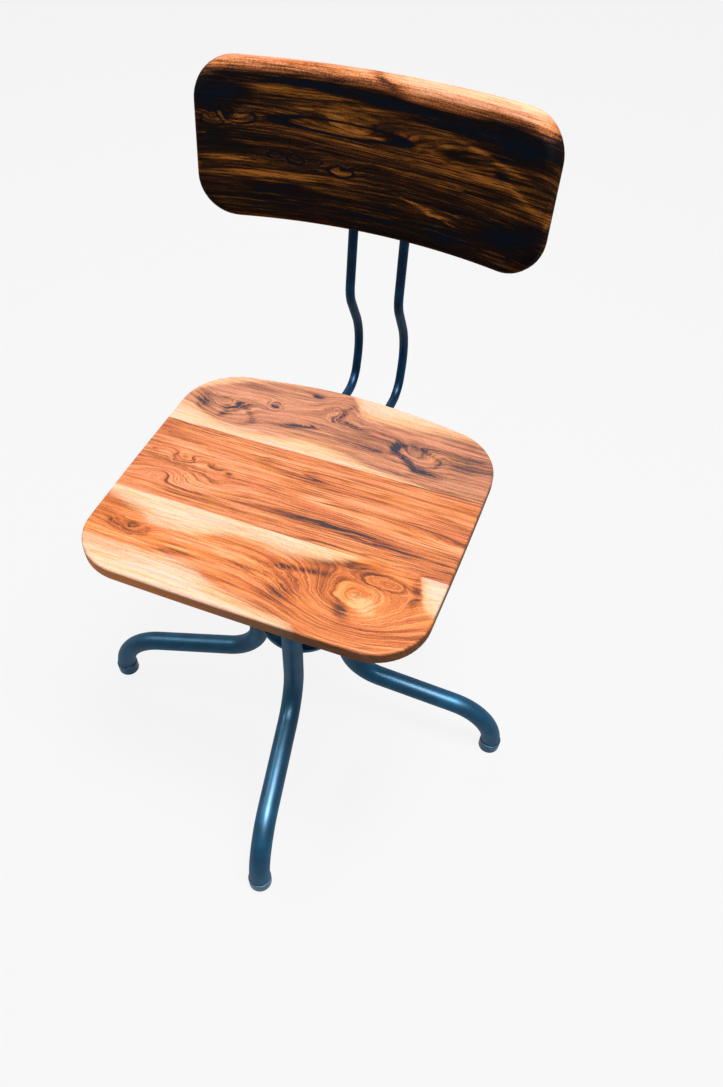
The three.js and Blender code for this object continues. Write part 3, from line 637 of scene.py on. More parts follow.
def turned(profile, sides=TURNED_SIDES, steps=3, spread=lambda radius, angle: radius):
    """A solid turned about Z from corners of radius, height and how far each is rounded."""
    hollow = profile[0][0] > 0
    rows = []
    for radius, height in rounded(profile, steps, closed=hollow):
        if radius == 0:
            rows.append([(0, 0, height)])
            continue
        rows.append([polar(spread(radius, angle), angle, height) for angle in bearings(sides)])
    return skin(rows, hollow)


def ring(outer, inner, bottom, top, edge=RING_EDGE):
    corners = [(inner, bottom), (outer, bottom), (outer, top), (inner, top)]
    return turned([(*corner, edge) for corner in corners])


def swept(path, binormal, radius, sides, closed=False, bore=0):
    """A round bar or tube along a path in the plane square to the binormal."""
    last = len(path) - 1
    side = Vector(binormal)
    outer = []
    inner = []
    for index, point in enumerate(path):
        before = path[index - 1] if closed or index > 0 else point
        after = path[(index + 1) % len(path)] if closed or index < last else point
        up = (after - before).normalized().cross(side)
        reach = radius[index] if isinstance(radius, list) else radius
        spokes = [side * math.cos(angle) + up * math.sin(angle) for angle in bearings(sides)]
        outer.append([point + spoke * reach for spoke in spokes])
        inner.append([point + spoke * bore for spoke in spokes])
    if bore:
        return skin(outer + inner[::-1], loop=True)
    return skin(outer, loop=closed)


def from_flat(angle):
    """Angle to the middle of the nearest flat of a hexagon whose first flat faces +X."""
    sixth = math.pi / 3
    return (angle + sixth / 2) % sixth - sixth / 2


def hexagon(across, bottom, top, bore=0):
    """A nut or bolt head whose corners are cut back by a cone at both ends."""
    apothem = across / 2
    landing = apothem * LANDING_SHARE
    rows = [[], [], [], []]
    for angle in bearings(ROUND_SIDES):
        reach = apothem / math.cos(from_flat(angle))
        drop = (reach - landing) * CORNER_SLOPE
        levels = [(landing, bottom), (reach, bottom + drop), (reach, top - drop), (landing, top)]
        for row, (radius, height) in zip(rows, levels):
            row.append(polar(radius, angle, height))
    if bore:
        for height in (top, bottom):
            rows.append([polar(bore, angle, height) for angle in bearings(ROUND_SIDES)])
    return skin(rows, loop=bore > 0)


def thread(radius, depth, pitch, bottom, top, sides, keyway=lambda point: point):
    """A rod with one right-hand thread, in rings that climb one pitch each turn."""
    turns = math.ceil((top - bottom) / pitch) + 1
    rows = []
    for turn in range(-1, turns):
        for share, rise in THREAD_SHARES:
            row = []
            for index, angle in enumerate(bearings(sides)):
                climb = turn + share + index / sides
                height = min(max(bottom + climb * pitch, bottom), top)
                ease = min(height - bottom, top - height)
                reach = min(radius - depth * (1 - rise), radius - depth + ease)
                row.append(keyway(polar(reach, angle, height)))
            rows.append(row)
    return climbing_skin(rows, len(THREAD_SHARES))


def climbing_skin(rows, rise):
    """Closes rings whose last point meets the first point of the ring one turn higher."""
    mesh = bmesh.new()
    made = [[mesh.verts.new(point * MM) for point in row] for row in rows]
    for low, high in zip(made, made[1:]):
        for corners in zip(low, low[1:], high[1:], high):
            mesh.faces.new(corners)
    for low in range(len(made) - 1 - rise):
        above = low + rise
        mesh.faces.new([made[low][-1], made[above][0], made[above + 1][0], made[low + 1][-1]])
    mesh.faces.new(made[0] + [made[step][0] for step in range(rise, 0, -1)])
    mesh.faces.new(made[-1] + [made[step][-1] for step in range(-2, -2 - rise, -1)])
    return outward(mesh)


def bead(path, binormal, closed=False):
    """A weld bead with a rippled crest, tapered where it ends."""
    radii = []
    travelled = 0
    for index, point in enumerate(path):
        if index > 0:
            travelled += (point - path[index - 1]).length
        ripple = 1 + BEAD_RIPPLE_SHARE * math.sin(2 * math.pi * travelled / BEAD_RIPPLE)
        from_end = min(index, len(path) - 1 - index) + 1
        taper = 1 if closed else min(1, from_end / BEAD_TAPER_STEPS)
        radii.append(BEAD_RADIUS * ripple * taper)
    return swept(path, binormal, radii, BEAD_SIDES, closed)


def arc_path(centre, radius, start=0, sweep=2 * math.pi):
    """Points round part of a level circle, close enough together for a bead's ripple."""
    count = round(radius * sweep / BEAD_STEP)
    spans = count if sweep == 2 * math.pi else count - 1
    return [Vector(centre) + polar(radius, start + sweep * index / spans) for index in range(count)]


# Materials


def colour(code):
    """Linear RGBA from a six digit screen colour."""
    values = [int(code[place:place + 2], 16) / 255 for place in (0, 2, 4)]
    linear = [value / 12.92 if value <= 0.04045 else ((value + 0.055) / 1.055) ** 2.4 for value in values]
    return (*linear, 1)


class Shader:
    """The node tree of a material or world. Each call adds a node and returns its output."""

    def __init__(self, block):
        self.block = block
        self.block.use_nodes = True
        self.tree = block.node_tree
        self.tree.nodes.clear()

    def add(self, kind, inputs=(), output=0, **settings):
        node = self.tree.nodes.new(kind)
        for key, value in settings.items():
            setattr(node, key, value)
        for key, value in dict(inputs).items():
            if isinstance(value, bpy.types.NodeSocket):
                self.tree.links.new(value, node.inputs[key])
            else:
                node.inputs[key].default_value = value
        return node.outputs[output] if node.outputs else node

    def math(self, operation, first, second=0.0, third=0.0):
        return self.add("ShaderNodeMath", {0: first, 1: second, 2: third}, operation=operation)

    def vector(self, operation, first, second=(0, 0, 0), output=0):
        return self.add("ShaderNodeVectorMath", {0: first, 1: second}, output, operation=operation)

    def position(self):
        """The point on the surface in millimetres."""
        metres = self.add("ShaderNodeTexCoord", output="Object")
        return self.vector("MULTIPLY", metres, (1 / MM, 1 / MM, 1 / MM))

    def split(self, vector):
        return tuple(self.add("ShaderNodeSeparateXYZ", {0: vector}).node.outputs)

    def combine(self, x, y, z):
        return self.add("ShaderNodeCombineXYZ", {0: x, 1: y, 2: z})

    def noise(self, vector, scale, detail=2.0, roughness=0.5, output=0):
        inputs = {"Vector": vector, "Scale": scale, "Detail": detail, "Roughness": roughness}
        return self.add("ShaderNodeTexNoise", inputs, output)

    def stretched(self, place, scales, detail=2.0, roughness=0.5, output=0):
        """Noise with a scale of its own on each axis."""
        return self.noise(self.vector("MULTIPLY", place, scales), 1.0, detail, roughness, output)

    def streaks(self, place, kind):
        """Noise drawn out along the grain. The place holds x along it and y across the rings."""
        along, across, detail, roughness = STREAKS[kind]
        x, y, z = self.split(place)
        slid = self.combine(self.weighted(x, (y, GRAIN_SLIDE)), y, z)
        return self.stretched(slid, (along, across, along), detail, roughness)

    def shift(self, place, scales, reach, detail, roughness=0.5):
        """A push to and fro by up to half the reach on each axis."""
        noise = self.stretched(place, scales, detail, roughness, "Color")
        return self.vector("MULTIPLY", self.vector("SUBTRACT", noise, (0.5, 0.5, 0.5)), reach)

    def weighted(self, start, *terms):
        """The start value plus each term's value times its weight."""
        total = start
        for value, weight in terms:
            total = self.math("MULTIPLY_ADD", value, weight, total)
        return total

    def step(self, value, low, high):
        """0 below low, 1 above high, smooth between."""
        inputs = {0: value, 1: low, 2: high, 3: 0.0, 4: 1.0}
        return self.add("ShaderNodeMapRange", inputs, interpolation_type="SMOOTHSTEP")

    def ramp(self, value, stops):
        node = self.add("ShaderNodeValToRGB", {0: value}).node
        elements = node.color_ramp.elements
        while len(elements) < len(stops):
            elements.new(0.5)
        for element, (place, code) in zip(elements, stops):
            element.position = place
            element.color = colour(code)
        return node.outputs[0]

    def mix(self, share, first, second, blend="MIX"):
        inputs = {0: share, 6: first, 7: second}
        return self.add("ShaderNodeMix", inputs, 2, data_type="RGBA", blend_type=blend)

    def curve(self, value, points, low, high):
        """A smooth line through points, whose heights lie between low and high."""
        node = self.add("ShaderNodeFloatCurve", {1: value}).node
        line = node.mapping.curves[0]
        while len(line.points) < len(points):
            line.points.new(0.5, 0.5)
        start = points[0][0]
        reach = points[-1][0] - start
        for point, (x, y) in zip(line.points, points):
            point.location = ((x - start) / reach, (y - low) / (high - low))
        node.mapping.update()
        share = self.math("DIVIDE", self.math("SUBTRACT", value, start), reach)
        self.tree.links.new(share, node.inputs[1])
        return self.math("MULTIPLY_ADD", node.outputs[0], high - low, low)

    def seen(self):
        """1 for rays that show a surface, straight or by gloss or glass, and 0 for those that light one."""
        light = self.add("ShaderNodeLightPath").node
        total = light.outputs["Is Camera Ray"]
        for ray in ("Is Glossy Ray", "Is Transmission Ray"):
            total = self.math("MAXIMUM", total, light.outputs[ray])
        return total

    def finish(self, relief, depth, **inputs):
        """The material with these inputs and a relief whose depth is in millimetres."""
        bump = {"Height": relief, "Distance": depth * MM, "Strength": 1.0}
        named = {key.replace("_", " "): value for key, value in inputs.items()}
        named["Normal"] = self.add("ShaderNodeBump", bump)
        surface = self.add("ShaderNodeBsdfPrincipled", named)
        self.add("ShaderNodeOutputMaterial", {0: surface})
        return self.block


def new_shader(name):
    return Shader(bpy.data.materials.new(name))


def powder_coat(name, colours, flake, gloss):
    """Satin powder coat with metal flake: fine orange peel and faintly uneven tone."""
    shader = new_shader(name)
    place = shader.position()
    cloud = shader.noise(place, *PAINT_CLOUD)
    peel = shader.noise(place, *PEEL)
    tone = shader.weighted(0.0, (cloud, 0.5), (peel, 0.5))
    base = shader.ramp(tone, list(zip(PAINT_LEVELS, colours)))
    away = shader.step(shader.add("ShaderNodeLayerWeight", {0: 0.5}, "Facing"), *PAINT_TURNED_AWAY)
    rough = shader.weighted(PAINT_ROUGHNESS, (cloud, PAINT_CLOUD_SHARE), (away, PAINT_AWAY_SHARE))
    return shader.finish(peel, PEEL_DEPTH, Base_Color=base, Metallic=flake, Roughness=rough,
                         Specular_IOR_Level=gloss, Specular_Tint=PAINT_GLOSS_TINT)


def metal(name, colours, roughness):
    """Turned or plated metal: fine rings of tool marks and uneven dulling."""
    shader = new_shader(name)
    place = shader.position()
    marks = shader.stretched(place, METAL_MARKS)
    base = shader.ramp(shader.noise(place, *METAL_CLOUD), list(zip(METAL_LEVELS, colours)))
    rough = shader.weighted(roughness, (marks, METAL_MARK_SHARE))
    return shader.finish(marks, METAL_MARK_DEPTH, Base_Color=base, Metallic=1.0, Roughness=rough)


def foot_rubber():
    """Smooth rubber in the paint's blue, with painted shade where it meets the floor."""
    shader = new_shader("foot_rubber")
    place = shader.position()
    base = shader.ramp(shader.noise(place, *RUBBER_CLOUD), RUBBER_COLOURS)
    height = shader.split(place)[2]
    # Painted shade near the floor
    base = shader.mix(shader.step(height, *RUBBER_CONTACT_SHADE_HEIGHTS), base, colour(RUBBER_CONTACT_SHADE))
    grain = shader.noise(place, *RUBBER_GRAIN)
    rough = shader.weighted(RUBBER_ROUGHNESS, (grain, RUBBER_GRAIN_SHARE))
    return shader.finish(grain, RUBBER_GRAIN_DEPTH, Base_Color=base, Roughness=rough,
                         Specular_IOR_Level=RUBBER_GLOSS, Specular_Tint=RUBBER_GLOSS_TINT)


def seat_board(shader):
    """Place in the seat: along the grain, across it, and height above the underside."""
    return shader.vector("SUBTRACT", shader.position(), (0, 0, SEAT_UNDERSIDE))


def back_board(shader):
    """Place in the backrest as if its board were flat: along, up, and depth from its front face."""
    shifted = shader.vector("SUBTRACT", shader.position(), (0, BACK_ORIGIN_Y, BACK_ORIGIN_Z))
    inputs = {"Vector": shifted, "Angle": ROD_LEAN}
    upright = shader.add("ShaderNodeVectorRotate", inputs, rotation_type="X_AXIS")
    x, y, z = shader.split(upright)
    forward = shader.math("SUBTRACT", y, BEND_AXIS_Y)
    angle = shader.math("ARCTAN2", x, forward)
    along = shader.math("MULTIPLY", angle, BACK_BEND_RADIUS)
    reach = shader.vector("LENGTH", shader.combine(x, forward, 0.0), output="Value")
    depth = shader.math("SUBTRACT", reach, BACK_BEND_RADIUS)
    return shader.combine(along, z, depth)


def bell(shader, place, x, y, length, width, turn=0):
    """1 at a point of the board, falling off to nothing at about twice the half length and half width."""
    inputs = {0: place, 1: (x, y, 0), 2: (0, 0, math.radians(turn)), 3: (length, width, BELL_DEPTH)}
    local = shader.add("ShaderNodeMapping", inputs, vector_type="TEXTURE")
    distance = shader.vector("DOT_PRODUCT", local, local, output="Value")
    return shader.math("EXPONENT", shader.math("MULTIPLY", distance, -1.0))


def growth(shader, board, look):
    """Place in the grown wood, with y counted across the growth rings, and the shade its figures give."""
    drift = shader.shift(board, WANDER_SCALES, look["wander"], WANDER_DETAIL)
    place = shader.vector("ADD", board, drift)
    curl = shader.shift(board, CURL_SCALES, CURL_REACH, CURL_DETAIL, CURL_ROUGHNESS)
    unrest = 0.0
    for spot in look["curly"]:
        unrest = shader.math("MAXIMUM", unrest, bell(shader, board, *spot))
    curl = shader.vector("MULTIPLY", curl, shader.combine(unrest, unrest, 0.0))
    place = shader.vector("ADD", place, curl)
    x, y, z = shader.split(place)
    field = shader.weighted(y, (z, look["tilt"]))
    shade = 0.0
    for *spot, push, darkening, rim in look["figures"]:
        mask = bell(shader, place, *spot)
        if push:
            field = shader.weighted(field, (mask, push))
        if darkening:
            shade = shader.weighted(shade, (mask, darkening))
        if rim:
            ring = shader.math("POWER", shader.math("SUBTRACT", mask, RIM_LEVEL), 2.0)
            ring = shader.math("EXPONENT", shader.math("MULTIPLY", ring, -RIM_SHARPNESS))
            shade = shader.weighted(shade, (ring, -rim))
    return shader.combine(x, field, z), shade


def late_wood(shader, place, spacing):
    """Growth rings that darken slowly and end sharply."""
    field = shader.split(place)[1]
    phase = shader.weighted(0.0, (field, 1 / spacing), (shader.streaks(place, "warp"), RING_WARP))
    ring = shader.math("FRACT", phase)
    late = shader.math("POWER", ring, RING_POWER)
    return shader.math("MULTIPLY", late, shader.step(ring, 1.0, RING_END))


def sapwood(shader, board, look):
    """1 in pale sapwood, and how deep in it. Its borders follow measured lines, feathered along the grain."""
    x, y, _ = shader.split(board)
    level = shader.weighted(y, (shader.streaks(board, "feather"), look["feather"]))
    past = FAR_OUTSIDE
    for side, points in look["sapwood_borders"]:
        heights = [height for _, height in points]
        line = shader.curve(x, points, min(heights) - 1, max(heights) + 1)
        beyond = shader.math("SUBTRACT", level, shader.math("ADD", line, look["feather"] / 2))
        if side == "below":
            beyond = shader.math("MULTIPLY", beyond, -1.0)
        past = shader.math("MAXIMUM", past, beyond)
    return shader.step(past, -look["blur"], look["blur"]), shader.step(past, 0.0, look["sapwood_depth"])


def wood(name, board_of, look):
    """Clear lacquered rosewood: streaks and growth rings round its figures, pores and pale sapwood."""
    shader = new_shader(name)
    board = board_of(shader)
    place, shade = growth(shader, board, look)
    zone = shader.streaks(place, "zone")
    band = shader.streaks(place, "band")
    hair = shader.streaks(place, "hair")
    speckle = shader.noise(board, *SPECKLE)
    patch = shader.step(shader.stretched(place, PATCH_SCALES), *PATCH_EDGES)
    late = shader.math("MULTIPLY", late_wood(shader, place, look["ring_spacing"]), patch)
    broken = shader.step(shader.streaks(place, "broken"), *BREAK_EDGES)
    shade = shader.math("MULTIPLY", shade, shader.weighted(SHADE_KEPT, (broken, SHADE_BROKEN)))
    layers = zip((zone, band, hair, speckle), look["layer_shares"])
    start = 0.5 - sum(look["layer_shares"]) / 2
    tone = shader.weighted(start, *layers, (late, -look["ring_share"]), (shade, 1.0))
    base = shader.ramp(tone, look["heartwood"])
    if look["sapwood_borders"]:
        mask, depth = sapwood(shader, board, look)
        start = SAPWOOD_START - look["depth_share"] / 2
        layers = zip((band, hair, speckle), SAPWOOD_SHARES)
        pale = shader.weighted(start, *layers, (depth, look["depth_share"]), (shade, SAPWOOD_SHADE))
        base = shader.mix(mask, base, shader.ramp(pale, look["sapwood"]))
    pores = shader.step(shader.streaks(place, "pores"), *PORE_EDGES)
    pores = shader.math("MULTIPLY", pores, look["pore_share"])
    base = shader.mix(pores, base, colour(look["pore_colour"]))
    # Painted shade: the seat's sides and underside take darker colours, darker towards the right, with some
    # of the edge's own darker tone
    x, _, height = shader.split(place)
    side = shader.step(height, look["shaded_side_depth"], look["shaded_side_depth"] - SIDE_SHADE_BLUR)
    side = shader.math("MULTIPLY", side, look["side_shade_share"])
    edge = shader.weighted(SIDE_SHADE_START, (shader.step(x, *pair(SIDE_SHADE_SPREAD)), 1.0), (band, SIDE_SHADE_BAND_SHARE))
    base = shader.mix(side, base, shader.ramp(edge, look["side_shade_colours"]))
    hue = shader.ramp(shader.streaks(place, "hue"), look["hues"])
    base = shader.mix(HUE_SHARE, base, hue, "MULTIPLY")
    rough = shader.weighted(look["roughness"], (hair, HAIR_ROUGHNESS), (side, SIDE_ROUGHNESS))
    return shader.finish(band, GRAIN_DEPTH, Base_Color=base, Roughness=rough,
                         Specular_IOR_Level=look["gloss"])


# The boards. Figures are knots and patches: place along and across, half length, half width, turn in degrees,
# then how far they push the growth rings aside, how much lighter they are, and how dark their rim is.
# Curly spots are place, half length and half width. Sapwood lies above or below its measured borders.
# Layer shares are those of zone, band, hair and speckle.
SEAT_WOOD = {
    "wander": (16, 12, 0),
    "tilt": 0.35,
    "ring_spacing": 4.6,
    "layer_shares": (0.7, 1.25, 0.6, 0.35),
    "ring_share": 0.3,
    "sapwood": [(0.2, "da9c6c"), (0.42, "e8b98f"), (0.58, "efc9aa"), (0.8, "f3d6be")],
    "sapwood_depth": 30,
    "depth_share": 0.25,
    "feather": 18,
    "blur": 6,
    "pore_colour": "7a4630",
    "pore_share": 0.35,
    # The side colours paint shade on the sides and underside, with some of the edge's own darker tone
    "shaded_side_depth": 17,
    "side_shade_share": 0.85,
    "side_shade_colours": [(0.0, "f08c3e"), (0.45, "aa6835"), (0.85, "5c432c")],
    "hues": [(0.34, "ffe6ef"), (0.5, "fffaf8"), (0.66, "fff2d2")],
    "roughness": 0.42,
    "gloss": 0.11,
}

REAR_PLANK = SEAT_WOOD | {
    "curly": [(-140, 118, 75, 42), (0, 155, 70, 40), (125, 110, 85, 42)],
    "figures": [
        (-148, 104, 44, 22, -14, 26, 0, 0.25), (-176, 110, 9, 7, -40, 0, -0.8, 0),
        (-146, 96, 10, 4, 35, 0, -0.55, 0), (-138, 113, 14, 4, 30, 0, -0.6, 0),
        (-92, 134, 12, 9, 0, 16, 0, 0.3), (-92, 134, 6, 4, 0, 0, -0.6, 0), (-45, 173, 9, 5, 0, 8, -0.55, 0),
        (-43, 110, 23, 3, 12, 4, -0.8, 0), (-12, 160, 28, 17, 30, -26, -0.1, 0),
        (-4, 152, 18, 3.5, 60, 0, -0.45, 0), (18, 135, 24, 4, -8, 5, -0.6, 0),
        (52, 104, 30, 4, 2, 0, -0.5, 0), (83, 119, 6, 9, 20, 0, -1.2, 0), (101, 101, 18, 4, -38, 0, -0.9, 0),
        (130, 88, 20, 5, -10, 0, -0.7, 0), (112, 112, 30, 16, -20, 24, 0.1, 0.3),
        (176, 112, 36, 30, 0, 8, -0.25, 0), (60, 125, 90, 18, 0, 0, -0.12, 0),
    ],
    "sapwood_borders": [
        ("above", [
            (-215, 112), (-183, 143), (-151, 164), (-116, 179), (-68, 192), (-30, 206), (-5, 194), (9, 176),
            (30, 156), (75, 158), (119, 163), (170, 168), (215, 171)]),
        ("below", [
            (-215, 102), (-187, 96), (-151, 83), (-117, 79), (-79, 81), (-21, 88), (20, 83), (68, 73),
            (114, 66), (150, 60), (215, 48)]),
    ],
    "heartwood": [(0.0, "2c3144"), (0.2, "7f5443"), (0.38, "ab7359"), (0.52, "c68867"), (0.68, "d49676"),
                  (0.88, "dda588")],
}

MIDDLE_PLANK = SEAT_WOOD | {
    "wander": (16, 6, 0),
    "ring_share": 0.6,
    "curly": [(-140, -12, 60, 34)],
    "figures": [
        (-156, 1, 14, 8, 0, 14, -0.2, 0.3), (-110, -1, 9, 5, 0, 7, -0.6, 0), (-90, -5, 7, 4, 0, 5, -0.6, 0),
        (-165, -30, 34, 12, 5, -18, -0.1, 0), (-105, -30, 44, 12, 0, 10, 0.1, 0),
        (40, -38, 80, 3.5, 1, 0, -0.5, 0), (120, -44, 60, 3.5, 1, 0, -0.4, 0),
        (-120, 57, 80, 5, -3, 0, -0.3, 0), (-115, -5, 75, 55, 0, 0, 0.12, 0), (25, -3, 16, 4, 0, 3, 0.4, 0),
        (190, -14, 60, 9, 0, 10, 0.1, 0), (-185, 30, 30, 20, 0, 0, -0.1, 0),
    ],
    "sapwood_borders": [],
    "heartwood": [(0.0, "3d3038"), (0.2, "8d4e2c"), (0.38, "c47242"), (0.52, "dd8a56"), (0.68, "eaa073"),
                  (0.88, "f2b692")],
}

FRONT_PLANK = SEAT_WOOD | {
    "curly": [(-157, -125, 34, 22), (30, -128, 60, 24), (135, -118, 60, 40)],
    "figures": [
        (-157, -124, 26, 9, 0, 12, -0.4, 0.2), (-88, -138, 42, 5, 6, 0, -0.4, 0),
        (2, -128, 38, 5, 0, 0, -0.45, 0), (48, -111, 40, 4, 9, 0, -0.45, 0),
        (44, -146, 22, 14, 22, 0, -0.35, 0), (118, -136, 66, 40, 0, 66, 0, 0),
        (128, -131, 19, 8, -18, 0, 0.9, 0), (112, -146, 7, 12, 30, 0, -0.6, 0),
        (143, -92, 26, 11, 0, -26, -0.1, 0.3), (180, -95, 6, 20, 12, 0, -0.4, 0),
        (-110, -128, 100, 30, 0, 0, 0.15, 0), (100, -84, 34, 6, 12, 0, -0.4, 0),
    ],
    "sapwood_borders": [
        ("above", [
            (-215, -82), (-184, -90), (-156, -99), (-124, -110), (-97, -108), (-71, -102), (-48, -94),
            (-18, -91), (23, -96), (55, -92), (85, -82), (118, -66), (215, -50)]),
        ("below", [
            (-215, -146), (-158, -151), (-122, -150), (-93, -147), (-59, -151), (-36, -163), (-9, -169),
            (26, -175), (61, -181), (95, -204), (215, -225)]),
        ("above", [
            (-215, -30), (160, -45), (176, -70), (185, -92), (196, -112), (215, -124)]),
    ],
    "heartwood": [(0.0, "402a2a"), (0.2, "884621"), (0.38, "ba6430"), (0.52, "da8044"), (0.68, "ea985c"),
                  (0.88, "f4b686")],
}

BACK_BOARD = SEAT_WOOD | {
    "wander": (20, 7, 0),
    "tilt": 0.5,
    "ring_spacing": 4.2,
    "ring_share": 0.4,
    "curly": [(-170, 28, 36, 16), (-70, -14, 76, 12), (75, -40, 50, 12)],
    "figures": [
        (-175, 52, 26, 14, 5, 0, -0.7, 0), (-90, 67, 62, 4, 0, 0, -0.6, 0), (0, 61, 60, 5, -4, 0, -0.6, 0),
        (92, 53, 60, 7, -4, 0, -0.6, 0), (165, 52, 30, 14, 0, 0, -0.6, 0), (-75, 56, 80, 4, -2, 0, 0.25, 0),
        (28, 20, 155, 19, -4, 15, 0.3, 0), (-39, 27, 78, 7.5, -1, 5, 0.1, 1.0),
        (-112, 27, 8, 2, 0, 0, -0.5, 0), (22, 25, 13, 4, -5, 0, -1.1, 0), (92, 25, 36, 4, -6, 0, -0.3, 0),
        (130, 32, 50, 3, -12, 0, 0.3, 0), (125, 10, 55, 3, -6, 0, 0.25, 0), (147, 18, 8, 3, -8, 0, -0.8, 0),
        (168, 6, 26, 3, -25, 0, 0.3, 0), (-150, 27, 17, 6, 0, 9, 0.2, 0.5),
        (-184, 24, 12, 7, 0, 6, -0.1, 0.4), (-170, 5, 34, 8, 0, 0, -0.25, 0),
        (-165, -15, 34, 4, 0, 0, 0.4, 0), (-116, -9, 10, 4, 0, 8, 0, 0.6), (-93, -11, 10, 5, 0, 7, 0, 0.7),
        (-68, -12, 9, 4, 0, 7, 0, 0.6), (-37, -18, 16, 6, 0, 6, 0.35, 0.8), (-5, 84, 24, 3, -20, 0, -0.7, 0),
        (-115, -31, 85, 5, 0, 0, 0.45, 0), (60, -38, 30, 2.5, -12, 0, 0.4, 0),
        (88, -46, 22, 2, -14, 0, 0.35, 0), (93, -60, 18, 6, 5, 0, -0.6, 0),
        (168, -42, 36, 10, 20, 0, -0.6, 0), (-20, -62, 220, 15, 0, 0, -0.2, 0),
        # These two strips paint a highlight along the rounded ends
        (-209, 0, 4, 80, 0, 0, 0.5, 0), (211, -10, 4, 80, 0, 0, 0.5, 0),
    ],
    # The pale band along the top is sapwood, and partly a painted highlight where the rounded top edge faces
    # the light
    "sapwood_borders": [
        ("above", [
            (-215, 66), (-195, 70), (-150, 75), (-70, 76), (-29, 74), (13, 72), (55, 67), (98, 67), (140, 69),
            (181, 66), (215, 62)]),
    ],
    "sapwood_depth": 20,
    "depth_share": 0.6,
    "feather": 9,
    "blur": 4,
    # Dark rosewood, made darker still as painted shade on the face
    "heartwood": [(0.1, "08111f"), (0.3, "0f0b0a"), (0.46, "20150f"), (0.58, "3a2512"), (0.72, "694318"),
                  (0.92, "94642c")],
    "sapwood": [(0.0, "22201f"), (0.2, "7c4a2a"), (0.38, "be7a4c"), (0.55, "d69c76"), (0.8, "ecc2a4")],
    "pore_share": 0.3,
    "pore_colour": "120b08",
    "side_shade_share": 0.0,
    "hues": [(0.34, "ffd9cf"), (0.5, "fff2ea"), (0.66, "ffedc8")],
    "roughness": 0.5,
    "gloss": 0.01,
}


# Wood


def seat_outline():
    """The seat's rim: rounded corners, and between them sides that bulge over a share of their width."""
    front, back = [SEAT_SETBACK + y for y in pair(SEAT_DEPTH)]
    corners = [
        (-SEAT_FRONT_WIDTH / 2, front, SEAT_FRONT_CORNER, 0),
        (0, front - SEAT_FRONT_BULGE, 0, SEAT_FRONT_WIDTH),
        (SEAT_FRONT_WIDTH / 2, front, SEAT_FRONT_CORNER, 0),
        (SEAT_MIDDLE_WIDTH / 2, SEAT_SETBACK, 0, SEAT_DEPTH),
        (SEAT_BACK_WIDTH / 2, back, SEAT_BACK_CORNER, 0),
        (0, back + SEAT_BACK_BULGE, 0, SEAT_BACK_WIDTH),
        (-SEAT_BACK_WIDTH / 2, back, SEAT_BACK_CORNER, 0),
        (-SEAT_MIDDLE_WIDTH / 2, SEAT_SETBACK, 0, SEAT_DEPTH),
    ]
    points = [Vector(corner[:2]) for corner in corners]
    radii = []
    for index, point in enumerate(points):
        radius, width = corners[index][2:]
        departure = points[(index + 1) % len(points)] - point
        turn = (point - points[index - 1]).angle(departure)
        radii.append(radius or width / 2 * BULGE_REACH_SHARE / math.tan(turn / 2))
    return filleted(points, radii, steps=14, closed=True)


def seat_planks(materials):
    """The rounded board, sawn square across at its two glue lines."""
    half = JOINT_LINE / 2
    cuts = {
        "front": [(FRONT_JOINT_Y - half, -1)],
        "middle": [(FRONT_JOINT_Y + half, 1), (REAR_JOINT_Y - half, -1)],
        "rear": [(REAR_JOINT_Y + half, 1)],
    }
    for place, sides in cuts.items():
        board = slab([seat_outline()], SEAT_UNDERSIDE, SEAT_HEIGHT, SEAT_EDGE_ROUND, steps=6)
        for y, facing in sides:
            sliced(board, (0, y, 0), (0, facing, 0))
        dress(f"seat_plank_{place}", board, materials[place])


def bent_board(width, height, corner, edge, inner_radius, thickness, face_rings, steps):
    """A flat board with rounded corners and edges, bent to a radius about the backrest's bend axis."""
    outline = subdivided(rounded_rectangle(width, height, corner, steps=12), width / BEND_FACETS)
    face = inset(outline, edge)
    spine = max(0, (width - height) / 2)

    def shrunk(share):
        line = []
        for point in face:
            target = Vector((max(-spine, min(spine, point.x)), 0))
            line.append(point.lerp(target, share))
        return line

    def bent(loop, depth):
        radius = inner_radius + depth
        row = []
        for point in loop:
            angle = point.x / BACK_BEND_RADIUS
            row.append(Vector((radius * math.sin(angle), BEND_AXIS_Y + radius * math.cos(angle), point.y)))
        return row

    shares = [index / face_rings for index in range(face_rings, 0, -1)]
    rows = [bent(shrunk(share), 0) for share in shares]
    rows += [bent(inset(outline, draw), depth) for draw, depth in edge_levels(0, thickness, edge, steps)]
    rows += [bent(shrunk(share), thickness) for share in reversed(shares)]
    mesh = skin(rows, capped=False)
    bmesh.ops.remove_doubles(mesh, verts=mesh.verts, dist=WELD_DISTANCE * MM)
    return moved(outward(mesh), BACK_FRAME)


def backrest(material):
    board = bent_board(BACK_WIDTH, BACK_HEIGHT, BACK_CORNER, BACK_EDGE_ROUND, BACK_BEND_RADIUS,
                       BACK_THICKNESS, face_rings=9, steps=8)
    dress("backrest_panel", board, material, BOARD_SHARP_ANGLE)


# Base


def leg_path():
    """The leg's centre line, a little past the floor, along +X."""
    run = LEG_FOOT_RADIUS - LEG_TOP_RADIUS
    ankle = Vector((LEG_FOOT_RADIUS, 0, LEG_SHOULDER_HEIGHT - run * math.tan(LEG_SLOPE)))
    foot = Vector((LEG_FOOT_RADIUS - LEG_FOOT_CURL, 0, 0))
    end = foot + (foot - ankle).normalized() * LEG_OVERRUN
    top = Vector((LEG_TOP_RADIUS, 0, LEG_TOP_HEIGHT))
    shoulder = Vector((LEG_TOP_RADIUS, 0, LEG_SHOULDER_HEIGHT))
    return filleted([top, shoulder, ankle, end], [0, *LEG_BENDS, 0], steps=24)


def at_height(path, height):
    """The point where a path on its way down passes a height."""
    for before, after in zip(path, path[1:]):
        if after.z <= height:
            return before.lerp(after, (before.z - height) / (before.z - after.z))
    return path[-1]


